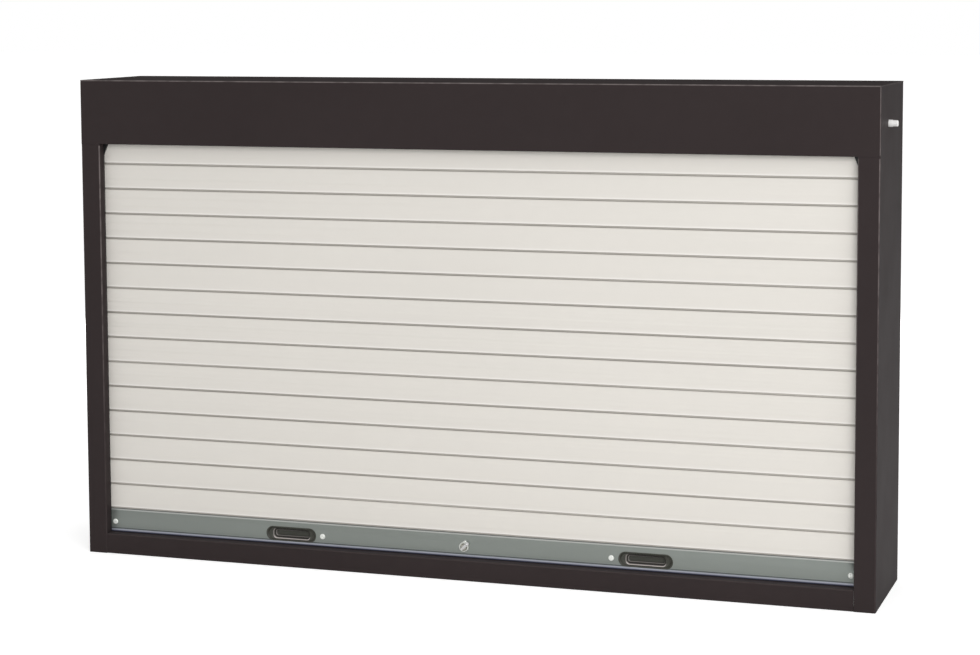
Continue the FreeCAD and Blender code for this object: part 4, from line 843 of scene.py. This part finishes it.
def rivets():
    """The keeper's two rivets: a turned dome head and its shank, standing up through the floor."""
    low, high = low_high("keeper_rivets")
    y = (low[1] + high[1]) / 2
    head_height = 1.2
    head = high[2] - head_height
    shells = []
    for x in (low[0] + 2.5, high[0] - 2.5):
        profile = [(0.15, head_height), (0.9, 1.12), (1.7, 0.85), (2.3, 0.4), (2.5, 0.05),
                   (2.45, 0.0), (1.3, 0.0), (1.3, low[2] - head + 0.2), (1.1, low[2] - head)]
        ring = turned(profile, (0, 0, 0))
        up = np.stack([ring[..., 0], ring[..., 2], ring[..., 1]], -1)
        shells.append(closed_shell(up + np.array([x, y, head])))
    make_piece("keeper_rivet_heads", shells, "cabinet", FINISHES["zinc_steel"], ("keeper_rivets",))


def straps():
    """Three webbing straps. Each is a flat section with round edges, carried up a straight line
    from the top slat to the roller, touching it, and then round the roller; its map counts
    threads, the distance across and along divided by 1.2 mm."""
    low, high = low_high("curtain_straps")
    tube_low, tube_high = low_high("roller_tube")
    centre = (tube_low[1:] + tube_high[1:]) / 2
    half_width, half_thick, wrap, thread = 20, 0.45, 110, 1.2
    radius = high[2] - centre[1] - 0.5
    foot = np.array([low[1] + 0.4, low[2] + 0.35])
    away = foot - centre
    leave = math.atan2(away[1], away[0]) - math.acos(radius / math.hypot(*away))
    a = leave - np.radians(np.linspace(0, wrap, 45))
    arc = centre + radius * np.stack([np.cos(a), np.sin(a)], -1)
    t = np.linspace(0, 1, 16)[:-1, None]
    path = np.concatenate([foot * (1 - t) + arc[0] * t, arc])
    way = np.gradient(path, axis=0)
    way /= np.linalg.norm(way, axis=1)[:, None]
    off = np.stack([-way[:, 1], way[:, 0]], -1)
    run = np.concatenate([[0], np.cumsum(np.linalg.norm(np.diff(path, axis=0), axis=1))])
    section = rounded([(-half_width, -half_thick), (half_width, -half_thick),
                       (half_width, half_thick), (-half_width, half_thick)], 0.4, 3)
    reach = (high[0] - low[0]) / 2 - half_width
    shells, maps = [], []
    for middle in (-1, 0, 1):
        flat = path[:, None] + off[:, None] * section[None, :, 1, None]
        x = np.broadcast_to(middle * reach + section[None, :, 0, None], flat.shape[:2] + (1,))
        shells.append(closed_shell(np.concatenate([x, flat], -1)))
        across = np.broadcast_to(section[None, :, 0], flat.shape[:2])
        maps.append(np.stack([across, np.broadcast_to(run[:, None], across.shape)], -1) / thread)
    uv = np.concatenate([part.reshape(-1, 2) for part in maps])
    piece = make_piece("curtain_strap_webbing", shells, "cabinet", FINISHES["strap_web"],
                       ("curtain_straps",), uv=uv)
    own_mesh(piece)


def sill_tabs():
    """A short folded tab behind each end of the sill, which closes the seam beside the stile."""
    edge = low_high("side_panel_right")[0][0]
    front = low_high("bottom_panel")[0][1] + 1.25
    back, foot, top = front + 1.2, 2.5, 36.5
    reach, gap = 12, 0.1
    section = rounded([(front, foot), (back, foot), (back, top), (front, top)], 0.3, 2)
    for side, sign in (("left", -1), ("right", 1)):
        stations = sorted([sign * (edge - reach), sign * (edge - gap)])
        make_piece(f"sill_tab_{side}", [closed_shell(along_x(section, stations))], "cabinet",
                   FINISHES["case_paint"])


slats()
straps()
sill_tabs()
finger_cups()
screws()
lock()
axle()
rivets()
eased_copy("bottom_bar", 0.35)
for end_cap in ("bar_end_cap_left", "bar_end_cap_right", "guide_mouth_left", "guide_mouth_right"):
    eased_copy(end_cap, 0.4)


# The studio.


def stage_floor():
    """A wide pale floor that glows a little towards the camera alone."""
    material, tree, shader, place = new_finish("studio_floor")
    tone = use(tree, TONE_DRIFT, Position=place, Colour=(0.80, 0.80, 0.796, 1), Share=0.004)
    tree.links.new(tone["Colour"], shader.inputs["Base Color"])
    shader.inputs["Roughness"].default_value = 0.9
    shader.inputs["Specular IOR Level"].default_value = 0.1
    shader.inputs["Emission Color"].default_value = (1, 1, 1, 1)
    seen = tree.nodes.new("ShaderNodeLightPath").outputs["Is Camera Ray"]
    tree.links.new(maths(tree, "MULTIPLY", seen, 0.54), shader.inputs["Emission Strength"])
    mesh = bpy.data.meshes.new("floor")
    half = 40.0
    corners = [(-half, -half, 0), (half, -half, 0), (half, half, 0), (-half, half, 0)]
    mesh.from_pydata(corners, [], [(0, 1, 2, 3)])
    floor = bpy.data.objects.new("floor", mesh)
    bpy.context.scene.collection.objects.link(floor)
    mesh.materials.append(material)


def soft_light(name, place, target, width, height, power):
    """A rectangular softbox aimed at a point."""
    data = bpy.data.lights.new(name, "AREA")
    data.shape = "RECTANGLE"
    data.size, data.size_y = width, height
    data.energy = power
    lamp = bpy.data.objects.new(name, data)
    bpy.context.scene.collection.objects.link(lamp)
    lamp.location = place
    way = Vector(target) - Vector(place)
    lamp.rotation_euler = way.to_track_quat("-Z", "Y").to_euler()


def studio():
    """A bright even room that is darker behind, to the left and far to the right, with one soft
    light in front at the right and one behind."""
    world = bpy.data.worlds.new("studio")
    bpy.context.scene.world = world
    world.use_nodes = True
    tree = world.node_tree
    way = tree.nodes.new("ShaderNodeTexCoord").outputs["Generated"]
    side = add(tree, "VectorMath", {"operation": "DOT_PRODUCT"}, n0=way,
               n1=(0.12, 0.99, -0.05)).outputs["Value"]
    left = add(tree, "VectorMath", {"operation": "DOT_PRODUCT"}, n0=way,
               n1=(-1.0, 0.0, 0.0)).outputs["Value"]
    right = ranged(tree, maths(tree, "MULTIPLY", left, -1.0), 0.6, 0.95, 1.0, 0.5)
    level = maths(tree, "MULTIPLY", ranged(tree, side, 0.05, 0.85, 1.0, 0.06),
                  ranged(tree, left, 0.0, 0.6, 1.12, 0.40))
    level = maths(tree, "MULTIPLY", level, right)
    grey = add(tree, "CombineColor", Red=level, Green=level, Blue=level).outputs[0]
    seen = tree.nodes.new("ShaderNodeLightPath").outputs["Is Camera Ray"]
    tree.links.new(blend_colours(tree, seen, grey, (1, 1, 1, 1)),
                   tree.nodes["Background"].inputs[0])
    tree.nodes["Background"].inputs[1].default_value = 1.0
    soft_light("key", (2.1, -3.1, 1.7), (0.2, 0, 0.45), width=1.8, height=1.4, power=40)
    soft_light("back", (-1.2, 3.3, 0.45), (0, 0.12, 0.45), width=2.4, height=0.7, power=50)
    bpy.context.scene.view_settings.view_transform = "Standard"


def camera():
    """The view: from the right of the middle, a little above the roof, looking slightly down.
    Focal length and the row of the optical centre are in pixels of a 980 by 655 image."""
    yaw, pitch, roll = -0.3230, -0.0916, -0.0044
    image_width, image_height, focal, centre_row = 980, 655, 2319.2, 215
    forward = Vector((math.sin(yaw) * math.cos(pitch), math.cos(yaw) * math.cos(pitch),
                      math.sin(pitch)))
    level = Vector((math.cos(yaw), -math.sin(yaw), 0))
    raised = level.cross(forward)
    right = level * math.cos(roll) + raised * math.sin(roll)
    up = raised * math.cos(roll) - level * math.sin(roll)
    data = bpy.data.cameras.new("view")
    data.sensor_width = 36.0
    data.lens = data.sensor_width * focal / image_width
    data.shift_y = (centre_row - image_height / 2) / image_width
    data.clip_start, data.clip_end = 0.05, 200
    eye = bpy.data.objects.new("view", data)
    bpy.context.scene.collection.objects.link(eye)
    turn = Matrix((right, up, -forward)).transposed()
    eye.matrix_world = Matrix.Translation((1.3601, -4.0100, 1.0423)) @ turn.to_4x4()
    bpy.context.scene.camera = eye


stage_floor()
studio()
camera()
